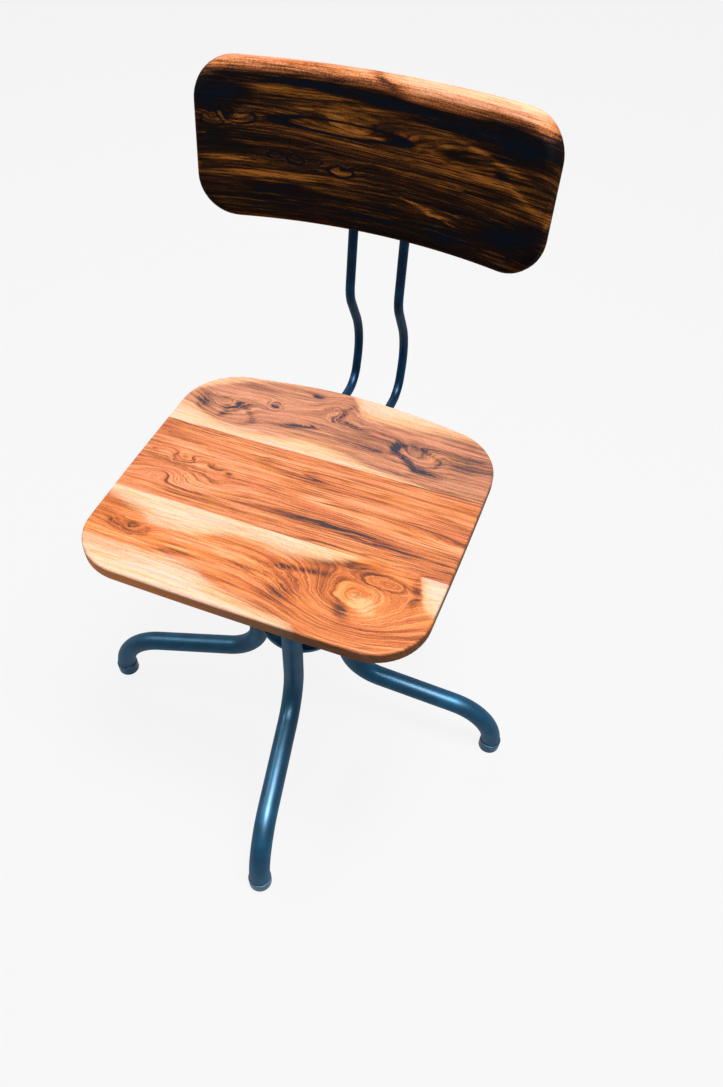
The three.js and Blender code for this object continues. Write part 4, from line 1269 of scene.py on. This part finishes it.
def foot_cap(path):
    """A soft cap whose rings lie level along the end of the leg."""
    inner = LEG_RADIUS + FIT_GAP
    profile = [
        (0, 0, 0),
        (FERRULE_RADIUS, 0, FERRULE_FOOT_ROUND),
        (FERRULE_RADIUS, FERRULE_HEIGHT, FERRULE_LIP_ROUND),
        (inner, FERRULE_HEIGHT, 0),
        (inner, FERRULE_FLOOR, FERRULE_LIP_ROUND),
        (0, FERRULE_FLOOR, 0),
    ]
    rows = []
    for radius, height in rounded(profile, steps=6):
        centre = at_height(path, height)
        if radius == 0:
            rows.append([centre])
            continue
        rows.append([centre + polar(radius, angle) for angle in bearings(ROUND_SIDES)])
    return skin(rows)


def legs(paint, rubber):
    path = leg_path()
    for side, azimuth in LEG_AZIMUTHS.items():
        turn = Matrix.Rotation(math.radians(azimuth), 4, "Z")
        tube = swept(path, (0, 1, 0), LEG_RADIUS, ROUND_SIDES, bore=LEG_RADIUS - LEG_WALL)
        sliced(tube, (0, 0, FERRULE_FLOOR + FIT_GAP), UP)
        dress(f"leg_{side}", moved(tube, turn), paint)
        dress(f"ferrule_{side}", moved(foot_cap(path), turn), rubber)


def leg_angles():
    return [math.radians(azimuth) for azimuth in LEG_AZIMUTHS.values()]


def notch_half_angle():
    """Half the arc of a leg that the lower plate's rim embraces."""
    reach = LEG_RADIUS + FIT_GAP
    numerator = LEG_TOP_RADIUS ** 2 + reach ** 2 - LOWER_PLATE_RADIUS ** 2
    return math.acos(numerator / (2 * LEG_TOP_RADIUS * reach))


def notched_outline():
    """The lower plate's rim with a round notch for each leg, counter-clockwise."""
    reach = LEG_RADIUS + FIT_GAP
    half = notch_half_angle()
    ends = math.asin(reach * math.sin(half) / LOWER_PLATE_RADIUS)
    full = 2 * math.pi
    angles = sorted(angle % full for angle in leg_angles())
    line = []
    for angle, following in zip(angles, angles[1:] + angles[:1]):
        for step in range(NOTCH_STEPS + 1):
            bearing = angle + math.pi + half - 2 * half * step / NOTCH_STEPS
            line.append((polar(LEG_TOP_RADIUS, angle) + polar(reach, bearing)).xy)
        start = angle + ends
        sweep = (following - ends - start) % full
        for step in range(1, RIM_STEPS):
            line.append(polar(LOWER_PLATE_RADIUS, start + sweep * step / RIM_STEPS).xy)
    return line


def base_frame(paint, bronze):
    hole = circle(0, 0, COLUMN_RADIUS + FIT_GAP, TURNED_SIDES, clockwise=True)
    dress("lower_leg_plate", slab([notched_outline(), hole], LOWER_PLATE_HEIGHT, LOWER_PLATE_TOP), paint)
    rim = circle(0, 0, UPPER_PLATE_RADIUS, WIDE_SIDES)
    dress("upper_leg_plate", slab([rim, hole], UPPER_PLATE_BOTTOM, UPPER_PLATE_TOP, RIM_EDGE), paint)
    bore = COLUMN_RADIUS - COLUMN_WALL
    dress("column_tube", ring(COLUMN_RADIUS, bore, COLUMN_FOOT, UPPER_PLATE_TOP), paint)
    for place, bottom in (("lower", COLUMN_FOOT), ("upper", UPPER_PLATE_TOP - BUSH_LENGTH)):
        bush = ring(bore - FIT_GAP, SPINDLE_HOLE, bottom, bottom + BUSH_LENGTH, HEAVY_EDGE)
        dress(f"guide_bush_{place}", bush, bronze)


def base_welds(paint):
    half = notch_half_angle()
    reach = LEG_RADIUS + LEG_BEAD_STANDOFF
    beads = []
    for angle in leg_angles():
        top = polar(LEG_TOP_RADIUS, angle, UPPER_PLATE_BOTTOM - LEG_BEAD_DROP)
        beads.append(bead(arc_path(top, reach), UP, closed=True))
        for height in (LOWER_PLATE_HEIGHT, LOWER_PLATE_TOP):
            centre = polar(LEG_TOP_RADIUS, angle, height)
            beads.append(bead(arc_path(centre, reach, angle + math.pi - half, 2 * half), UP))
    for height in (LOWER_PLATE_HEIGHT, LOWER_PLATE_TOP, UPPER_PLATE_BOTTOM):
        beads.append(bead(arc_path((0, 0, height), COLUMN_RADIUS + BEAD_STANDOFF), UP, closed=True))
    add_piece("base_welds", joined(beads), "base", "painted_steel", paint)


# Screw, hand nut and swivel


def key_screw(steel):
    """A hexagon screw that points at the axis, its tip in the spindle's keyway."""
    tip = SPINDLE_RADIUS - KEY_DEPTH + FIT_GAP
    seat = COLUMN_RADIUS + FIT_GAP
    end = -seat - FIT_GAP
    head = hexagon(KEY_HEAD_ACROSS, -KEY_HEAD_HEIGHT - seat, -seat)
    profile = [(0, end, 0), (KEY_RADIUS, end, 0), (KEY_RADIUS, -tip, HEAVY_EDGE), (0, -tip, 0)]
    shank = turned(profile, KEY_SIDES)
    side = Vector((0, 1, 0))
    along = Vector((-1, 0, 0))
    basis = Matrix((side, along.cross(side), along)).transposed().to_4x4()
    place = Matrix.Translation((0, 0, KEY_HEIGHT)) @ Matrix.Rotation(KEY_AZIMUTH, 4, "Z") @ basis
    dress("guide_key_screw", moved(joined([head, shank]), place), steel)


def hand_nut(paint, steel):
    washer = NUT_HUB_RADIUS + NUT_WASHER_OVERHANG
    washer_top = NUT_WASHER_BOTTOM + NUT_WASHER_THICKNESS
    dress("nut_washer", ring(washer, SPINDLE_HOLE, NUT_WASHER_BOTTOM, washer_top), steel)
    rim_bottom = NUT_BOTTOM + NUT_RIM_DROP
    rim_top = rim_bottom + NUT_RIM_HEIGHT
    web = NUT_HUB_RADIUS + NUT_WEB_WIDTH

    def lobed(radius, angle):
        if radius <= web:
            return radius
        reach = NUT_RADIUS - NUT_LOBE_DEPTH / 2 * (1 - math.cos(NUT_LOBES * angle))
        return web + (radius - web) * (reach - web) / (NUT_RADIUS - web)

    profile = [
        (SPINDLE_HOLE, NUT_BOTTOM, RIM_EDGE),
        (NUT_HUB_RADIUS, NUT_BOTTOM, RIM_EDGE),
        (NUT_HUB_RADIUS, rim_bottom, NUT_UNDER_ROOT_ROUND),
        (web, rim_bottom, 0),
        (NUT_RADIUS, rim_bottom, NUT_GRIP_ROUND),
        (NUT_RADIUS, rim_top, NUT_GRIP_ROUND),
        (web, rim_top, 0),
        (NUT_HUB_RADIUS, rim_top, NUT_TOP_ROOT_ROUND),
        (NUT_HUB_RADIUS, NUT_TOP, NUT_CROWN_ROUND),
        (SPINDLE_HOLE, NUT_TOP, RIM_EDGE),
    ]
    dress("height_hand_nut", turned(profile, NUT_SIDES, steps=5, spread=lobed), paint)


def spindle(steel):
    along = polar(1, KEY_AZIMUTH)
    across = Vector((-along.y, along.x, 0))
    half = KEY_RADIUS + FIT_GAP

    def keyway(point):
        """Presses a point that lies over the keyway down to its floor."""
        in_length = KEY_HEIGHT - HEIGHT_TRAVEL - half < point.z < KEY_HEIGHT + half
        excess = point.dot(along) - (SPINDLE_RADIUS - KEY_DEPTH)
        if in_length and abs(point.dot(across)) < half and excess > 0:
            return point - along * excess
        return point

    screw_top = COLLAR_BOTTOM + THREAD_BURY
    screw = thread(SPINDLE_RADIUS, SPINDLE_THREAD_DEPTH, SPINDLE_PITCH, SPINDLE_FOOT, screw_top,
                   WIDE_SIDES, keyway)
    head = turned([
        (0, COLLAR_BOTTOM, 0),
        (COLLAR_RADIUS, COLLAR_BOTTOM, HEAVY_EDGE),
        (COLLAR_RADIUS, COLLAR_TOP, HEAVY_EDGE),
        (JOURNAL_RADIUS, COLLAR_TOP, JOURNAL_ROOT_ROUND),
        (JOURNAL_RADIUS, JOURNAL_TOP - JOURNAL_CHAMFER, 0),
        (JOURNAL_RADIUS - JOURNAL_CHAMFER, JOURNAL_TOP, 0),
        (0, JOURNAL_TOP, 0),
    ])
    dress("screw_spindle", joined([screw, head]), steel)


def swivel(paint, steel, bronze):
    flange = HOUSING_BORE + FLANGE_WIDTH
    dress("thrust_washer", ring(flange, JOURNAL_HOLE, THRUST_BOTTOM, THRUST_BOTTOM + THRUST_WASHER), steel)
    bottom = RETAINING_WASHER_BOTTOM
    washer = ring(RETAINING_WASHER_RADIUS, JOURNAL_HOLE, bottom, bottom + RETAINING_WASHER)
    dress("retaining_washer", washer, steel)
    nut_top = RETAINING_NUT_BOTTOM + RETAINING_NUT_HEIGHT
    dress("retaining_nut", hexagon(RETAINING_NUT_ACROSS, RETAINING_NUT_BOTTOM, nut_top, JOURNAL_HOLE), steel)
    top = HOUSING_BOTTOM + HOUSING_HEIGHT
    housing = turned([
        (HOUSING_BORE, HOUSING_BOTTOM, HOUSING_EDGE),
        (HOUSING_NECK_RADIUS, HOUSING_BOTTOM, HOUSING_FOOT_ROUND),
        (HOUSING_NECK_RADIUS, HOUSING_BOTTOM + HOUSING_HEIGHT * HOUSING_NECK_SHARE, HOUSING_SHOULDER_ROUND),
        (HOUSING_RADIUS, top - HOUSING_HEIGHT * HOUSING_SHOULDER_SHARE, HOUSING_SHOULDER_ROUND),
        (HOUSING_RADIUS, top, HOUSING_EDGE),
        (HOUSING_BORE, top, HOUSING_EDGE),
    ], steps=5)
    dress("swivel_housing", housing, paint)
    sleeve = HOUSING_BORE - FIT_GAP
    length = FLANGE_THICKNESS + HOUSING_HEIGHT * SLEEVE_SHARE
    planes = (("lower", LOWER_FLANGE_BOTTOM, 1), ("upper", UPPER_FLANGE_BOTTOM + FLANGE_THICKNESS, -1))
    for place, plane, sign in planes:
        step = plane + sign * FLANGE_THICKNESS
        end = plane + sign * length
        corners = [(JOURNAL_HOLE, plane), (flange, plane), (flange, step), (sleeve, step), (sleeve, end),
                   (JOURNAL_HOLE, end)]
        dress(f"swivel_bush_{place}", turned([(*corner, RING_EDGE) for corner in corners]), bronze)


# Seat frame


def seat_frame(paint, steel):
    spots = [(x, y) for x in pair(BOLT_SPACING) for y in pair(BAR_SPACING)]
    bolt_hole = BOLT_RADIUS + BOLT_HOLE_PLAY
    loops = [rounded_rectangle(CLAMP_WIDTH, CLAMP_DEPTH, CLAMP_CORNER)]
    loops.append(circle(0, 0, HOUSING_BORE, ROUND_SIDES, clockwise=True))
    loops += [circle(x, y, bolt_hole, HOLE_SIDES, clockwise=True) for x, y in spots]
    dress("clamp_plate", slab(loops, CLAMP_BOTTOM, CLAMP_TOP, HEAVY_EDGE), paint)
    for place, y in zip(("front", "rear"), pair(BAR_SPACING)):
        bar = [rounded_rectangle(BAR_LENGTH, BAR_WIDTH, BAR_CORNER, y)]
        bar += [circle(x, y, bolt_hole, HOLE_SIDES, clockwise=True) for x in pair(BOLT_SPACING)]
        dress(f"cross_bar_{place}", slab(bar, BAR_BOTTOM, BAR_TOP, HEAVY_EDGE), paint)
    head_top = CLAMP_BOTTOM - FIT_GAP
    nut_bottom = BAR_TOP + FIT_GAP
    nut_top = nut_bottom + BOLT_NUT_HEIGHT
    for number, (x, y) in enumerate(spots, 1):
        place = Matrix.Translation((x, y, 0))
        head = hexagon(BOLT_HEAD_ACROSS, head_top - BOLT_HEAD_HEIGHT, head_top)
        shank = thread(BOLT_RADIUS, BOLT_THREAD_DEPTH, BOLT_PITCH, head_top, nut_top, BOLT_SIDES)
        dress(f"clamp_bolt_{number}", moved(joined([head, shank]), place), steel)
        nut = hexagon(BOLT_HEAD_ACROSS, nut_bottom, nut_top, BOLT_RADIUS + FIT_GAP)
        dress(f"clamp_nut_{number}", moved(nut, place), steel)


def rail(x):
    """A folded channel, open downwards, drawn in the XZ plane and run along Y."""
    half = RAIL_WIDTH / 2
    inner = half - RAIL_WALL
    height = RAIL_TOP - RAIL_BOTTOM
    web = height - RAIL_WALL
    profile = [
        (-half, 0, RAIL_EDGE),
        (-inner, 0, RAIL_EDGE),
        (-inner, web, RAIL_INNER_ROUND),
        (inner, web, RAIL_INNER_ROUND),
        (inner, 0, RAIL_EDGE),
        (half, 0, RAIL_EDGE),
        (half, height, RAIL_BEND_ROUND),
        (-half, height, RAIL_BEND_ROUND),
    ]
    channel = slab([rounded(profile, steps=5, closed=True)], *pair(RAIL_LENGTH), RING_EDGE, steps=2)
    stand = Matrix.Translation((x, 0, RAIL_BOTTOM)) @ Matrix.Rotation(math.pi / 2, 4, "X")
    return moved(channel, stand)


def wood_screw(length):
    """A pan head screw with a cross recess. Its head hangs below z = 0."""
    brim = SCREW_HEAD_RADIUS
    crown = -SCREW_HEAD_HEIGHT
    profile = [
        (0, length, 0),
        (SCREW_RADIUS, length - 2 * SCREW_RADIUS, 0),
        (SCREW_RADIUS, 0, 0),
        (brim, 0, SCREW_BRIM_ROUND),
        (brim, crown / 2, SCREW_CROWN_ROUND),
        (brim * SCREW_CROWN_SHARE, crown, 0),
    ]
    rows = [[(0, 0, length)]]
    for radius, height in rounded(profile, steps=4)[1:]:
        rows.append([polar(radius, angle, height) for angle in bearings(SCREW_SIDES)])
    shell = skin(rows, capped=False)
    rim = list(shell.verts)[-SCREW_SIDES:]
    arm = brim * RECESS_ARM_SHARE
    slot = brim * RECESS_SLOT_SHARE
    cross = [(arm, -slot), (arm, slot), (slot, slot), (slot, arm), (-slot, arm), (-slot, slot), (-arm, slot),
             (-arm, -slot), (-slot, -slot), (-slot, -arm), (slot, -arm), (slot, -slot)]
    upper = [Vector((x, y, crown)) for x, y in cross]
    floor = Vector((0, 0, crown * (1 - RECESS_DEPTH_SHARE)))
    lower = [floor + Vector((x, y, 0)) * RECESS_FLOOR_SHARE for x, y in cross]
    upper, lower = [[shell.verts.new(point * MM) for point in row] for row in (upper, lower)]
    cap(shell, [rim, upper])
    span(shell, upper, lower)
    shell.faces.new(lower)
    return outward(shell)


def rails(paint, steel):
    head_seat = RAIL_TOP - RAIL_WALL - FIT_GAP
    number = 0
    for side, x in zip(("left", "right"), pair(RAIL_SPACING)):
        dress(f"seat_rail_{side}", rail(x), paint)
        for y in SCREW_PLACES:
            number += 1
            screw = wood_screw(SEAT_UNDERSIDE + SCREW_BITE - FIT_GAP - head_seat)
            dress(f"seat_screw_{number}", moved(screw, Matrix.Translation((x, y, head_seat))), steel)


def rod_path(x):
    """The bent line of a rod in a plane square to X."""
    reach = BACK_PLATE_HEIGHT / 2 + ROD_TOP_OVERHANG
    top = BACK_ORIGIN_Z + reach * math.cos(ROD_LEAN)
    corners = [
        (ROD_FRONT_Y, ROD_RUN_HEIGHT),
        (ROD_RISER_Y, ROD_RUN_HEIGHT),
        (ROD_BELLY_Y, ROD_RUN_HEIGHT + ROD_BELLY_RISE),
        (ROD_WAIST_Y, ROD_WAIST_HEIGHT),
        (ROD_WAIST_Y + (top - ROD_WAIST_HEIGHT) * math.tan(ROD_LEAN), top),
    ]
    return filleted([Vector((x, *corner)) for corner in corners], [0, *ROD_BENDS, 0], steps=20)


def back_rods(paint):
    """Bars whose cut ends are broken by a small chamfer."""
    for side, x in zip(("left", "right"), pair(ROD_SPACING)):
        path = rod_path(x)
        first = path[0] + (path[1] - path[0]).normalized() * HEAVY_EDGE
        last = path[-1] + (path[-2] - path[-1]).normalized() * HEAVY_EDGE
        line = [path[0], first, *path[1:-1], last, path[-1]]
        end = [ROD_RADIUS - HEAVY_EDGE]
        radii = end + [ROD_RADIUS] * (len(line) - 2) + end
        dress(f"back_rod_{side}", swept(line, (1, 0, 0), radii, ROD_SIDES), paint)


def back_plate(paint, steel):
    inner = PLATE_REAR_RADIUS - BACK_PLATE_THICKNESS
    sheet = bent_board(BACK_PLATE_WIDTH, BACK_PLATE_HEIGHT, BACK_PLATE_CORNER, SHEET_EDGE, inner,
                       BACK_PLATE_THICKNESS, face_rings=6, steps=2)
    dress("backrest_plate", sheet, paint)
    turn = (BACK_PLATE_WIDTH - 2 * BACK_SCREW_INSET) / PLATE_REAR_RADIUS
    rise = BACK_PLATE_HEIGHT - 2 * BACK_SCREW_INSET
    head_seat = Matrix.Translation((0, 0, PLATE_REAR_RADIUS + FIT_GAP))
    spots = [(angle, height) for angle in pair(turn) for height in pair(rise)]
    for number, (angle, height) in enumerate(spots, 1):
        screw = wood_screw(BACK_SCREW_BITE + BACK_PLATE_THICKNESS + FIT_GAP)
        out = Matrix.Translation((0, BEND_AXIS_Y, height)) @ Matrix.Rotation(-angle, 4, "Z")
        place = BACK_FRAME @ out @ Matrix.Rotation(-math.pi / 2, 4, "X") @ head_seat
        dress(f"backrest_screw_{number}", moved(screw, place @ Matrix.Rotation(math.pi, 4, "X")), steel)


def seat_welds(paint):
    """Beads round the swivel housing and along the rods where they lie on the backrest plate."""
    beads = [bead(arc_path((0, 0, CLAMP_BOTTOM), HOUSING_RADIUS + BEAD_STANDOFF), UP, closed=True)]
    length = BACK_PLATE_HEIGHT - 2 * ROD_BEAD_END
    count = round(length / BEAD_STEP)
    for x in pair(ROD_SPACING):
        for along in pair(2 * ROD_RADIUS * ROD_BEAD_SHARE):
            y = BEND_AXIS_Y + math.sqrt((PLATE_REAR_RADIUS + BEAD_STANDOFF) ** 2 - (x + along) ** 2)
            path = []
            for step in range(count + 1):
                path.append(BACK_FRAME @ Vector((x + along, y, length * (step / count - 1 / 2))))
            beads.append(bead(path, (1, 0, 0)))
    add_piece("seat_welds", joined(beads), "seat", "painted_steel", paint)


# Stage


def floor():
    """A floor that shades softly under the chair but looks nearly white."""
    shader = new_shader("pale_floor")
    pale = shader.add("ShaderNodeBsdfDiffuse", {0: colour(FLOOR_COLOUR)})
    white = shader.add("ShaderNodeEmission", {0: WHITE, 1: 1.0})
    share = shader.math("MULTIPLY", shader.seen(), FLOOR_WHITE_SHARE)
    surface = shader.add("ShaderNodeMixShader", {0: share, 1: pale, 2: white})
    shader.add("ShaderNodeOutputMaterial", {0: surface})
    data = bpy.data.meshes.new("floor")
    near, far = pair(FLOOR_SIZE)
    data.from_pydata([(near, near, 0), (far, near, 0), (far, far, 0), (near, far, 0)], [], [(0, 1, 2, 3)])
    data.materials.append(shader.block)
    plane = bpy.data.objects.new("floor", data)
    bpy.context.scene.collection.objects.link(plane)


def backdrop():
    """A world that lights softly but looks white."""
    shader = Shader(bpy.data.worlds.new("studio"))
    level = shader.add("ShaderNodeMapRange", {0: shader.seen(), 3: WORLD_LIGHT, 4: WORLD_WHITE})
    sky = shader.add("ShaderNodeBackground", {0: WHITE, 1: level})
    shader.add("ShaderNodeOutputWorld", {0: sky})
    bpy.context.scene.world = shader.block


def lights():
    """Round soft lamps. Each shines along its aim, and one for gloss shows in it but lights nothing."""
    for name, (place, aim, size, power, only_gloss) in LAMPS.items():
        data = bpy.data.lights.new(name, "AREA")
        data.shape = "DISK"
        data.size = size
        data.energy = power
        lamp = bpy.data.objects.new(name, data)
        lamp.location = place
        lamp.rotation_mode = "QUATERNION"
        lamp.rotation_quaternion = Vector((0, 0, -1)).rotation_difference(Vector(aim))
        lamp.visible_diffuse = not only_gloss
        bpy.context.scene.collection.objects.link(lamp)


def camera():
    data = bpy.data.cameras.new("photo_camera")
    data.sensor_width = SENSOR
    data.lens = FOCAL_SHARE * SENSOR
    eye = bpy.data.objects.new("photo_camera", data)
    bpy.context.scene.collection.objects.link(eye)
    columns = (Vector(CAMERA_RIGHT), -Vector(CAMERA_DOWN), -Vector(CAMERA_AHEAD))
    pose = Matrix(columns).transposed().to_4x4()
    pose.translation = Vector(CAMERA_PLACE) * MM
    eye.matrix_world = pose
    bpy.context.scene.camera = eye


camera()
backdrop()
lights()
floor()
bpy.context.scene.view_settings.view_transform = "Standard"

PAINT = powder_coat("petrol_powder_coat", PAINT_COLOURS, flake=0.2, gloss=0.36)
# A darker copy of the paint, as painted shade on the rods
SHADED_ROD_PAINT = powder_coat("petrol_powder_coat_of_rods_with_painted_shade", ROD_SHADED_PAINT_COLOURS, flake=0.25, gloss=0.13)
STEEL = metal("bright_steel", ["8d9092", "b4b6b8"], roughness=0.26)
BRONZE = metal("bearing_bronze", ["8f6a38", "b98d52"], roughness=0.3)
RUBBER = foot_rubber()

seat_planks({
    "front": wood("front_plank_wood", seat_board, FRONT_PLANK),
    "middle": wood("middle_plank_wood", seat_board, MIDDLE_PLANK),
    "rear": wood("rear_plank_wood", seat_board, REAR_PLANK),
})
backrest(wood("backrest_wood", back_board, BACK_BOARD))
legs(PAINT, RUBBER)
base_frame(PAINT, BRONZE)
base_welds(PAINT)
key_screw(STEEL)
hand_nut(PAINT, STEEL)
spindle(STEEL)
swivel(PAINT, STEEL, BRONZE)
seat_frame(PAINT, STEEL)
rails(PAINT, STEEL)
back_rods(SHADED_ROD_PAINT)
back_plate(PAINT, STEEL)
seat_welds(PAINT)
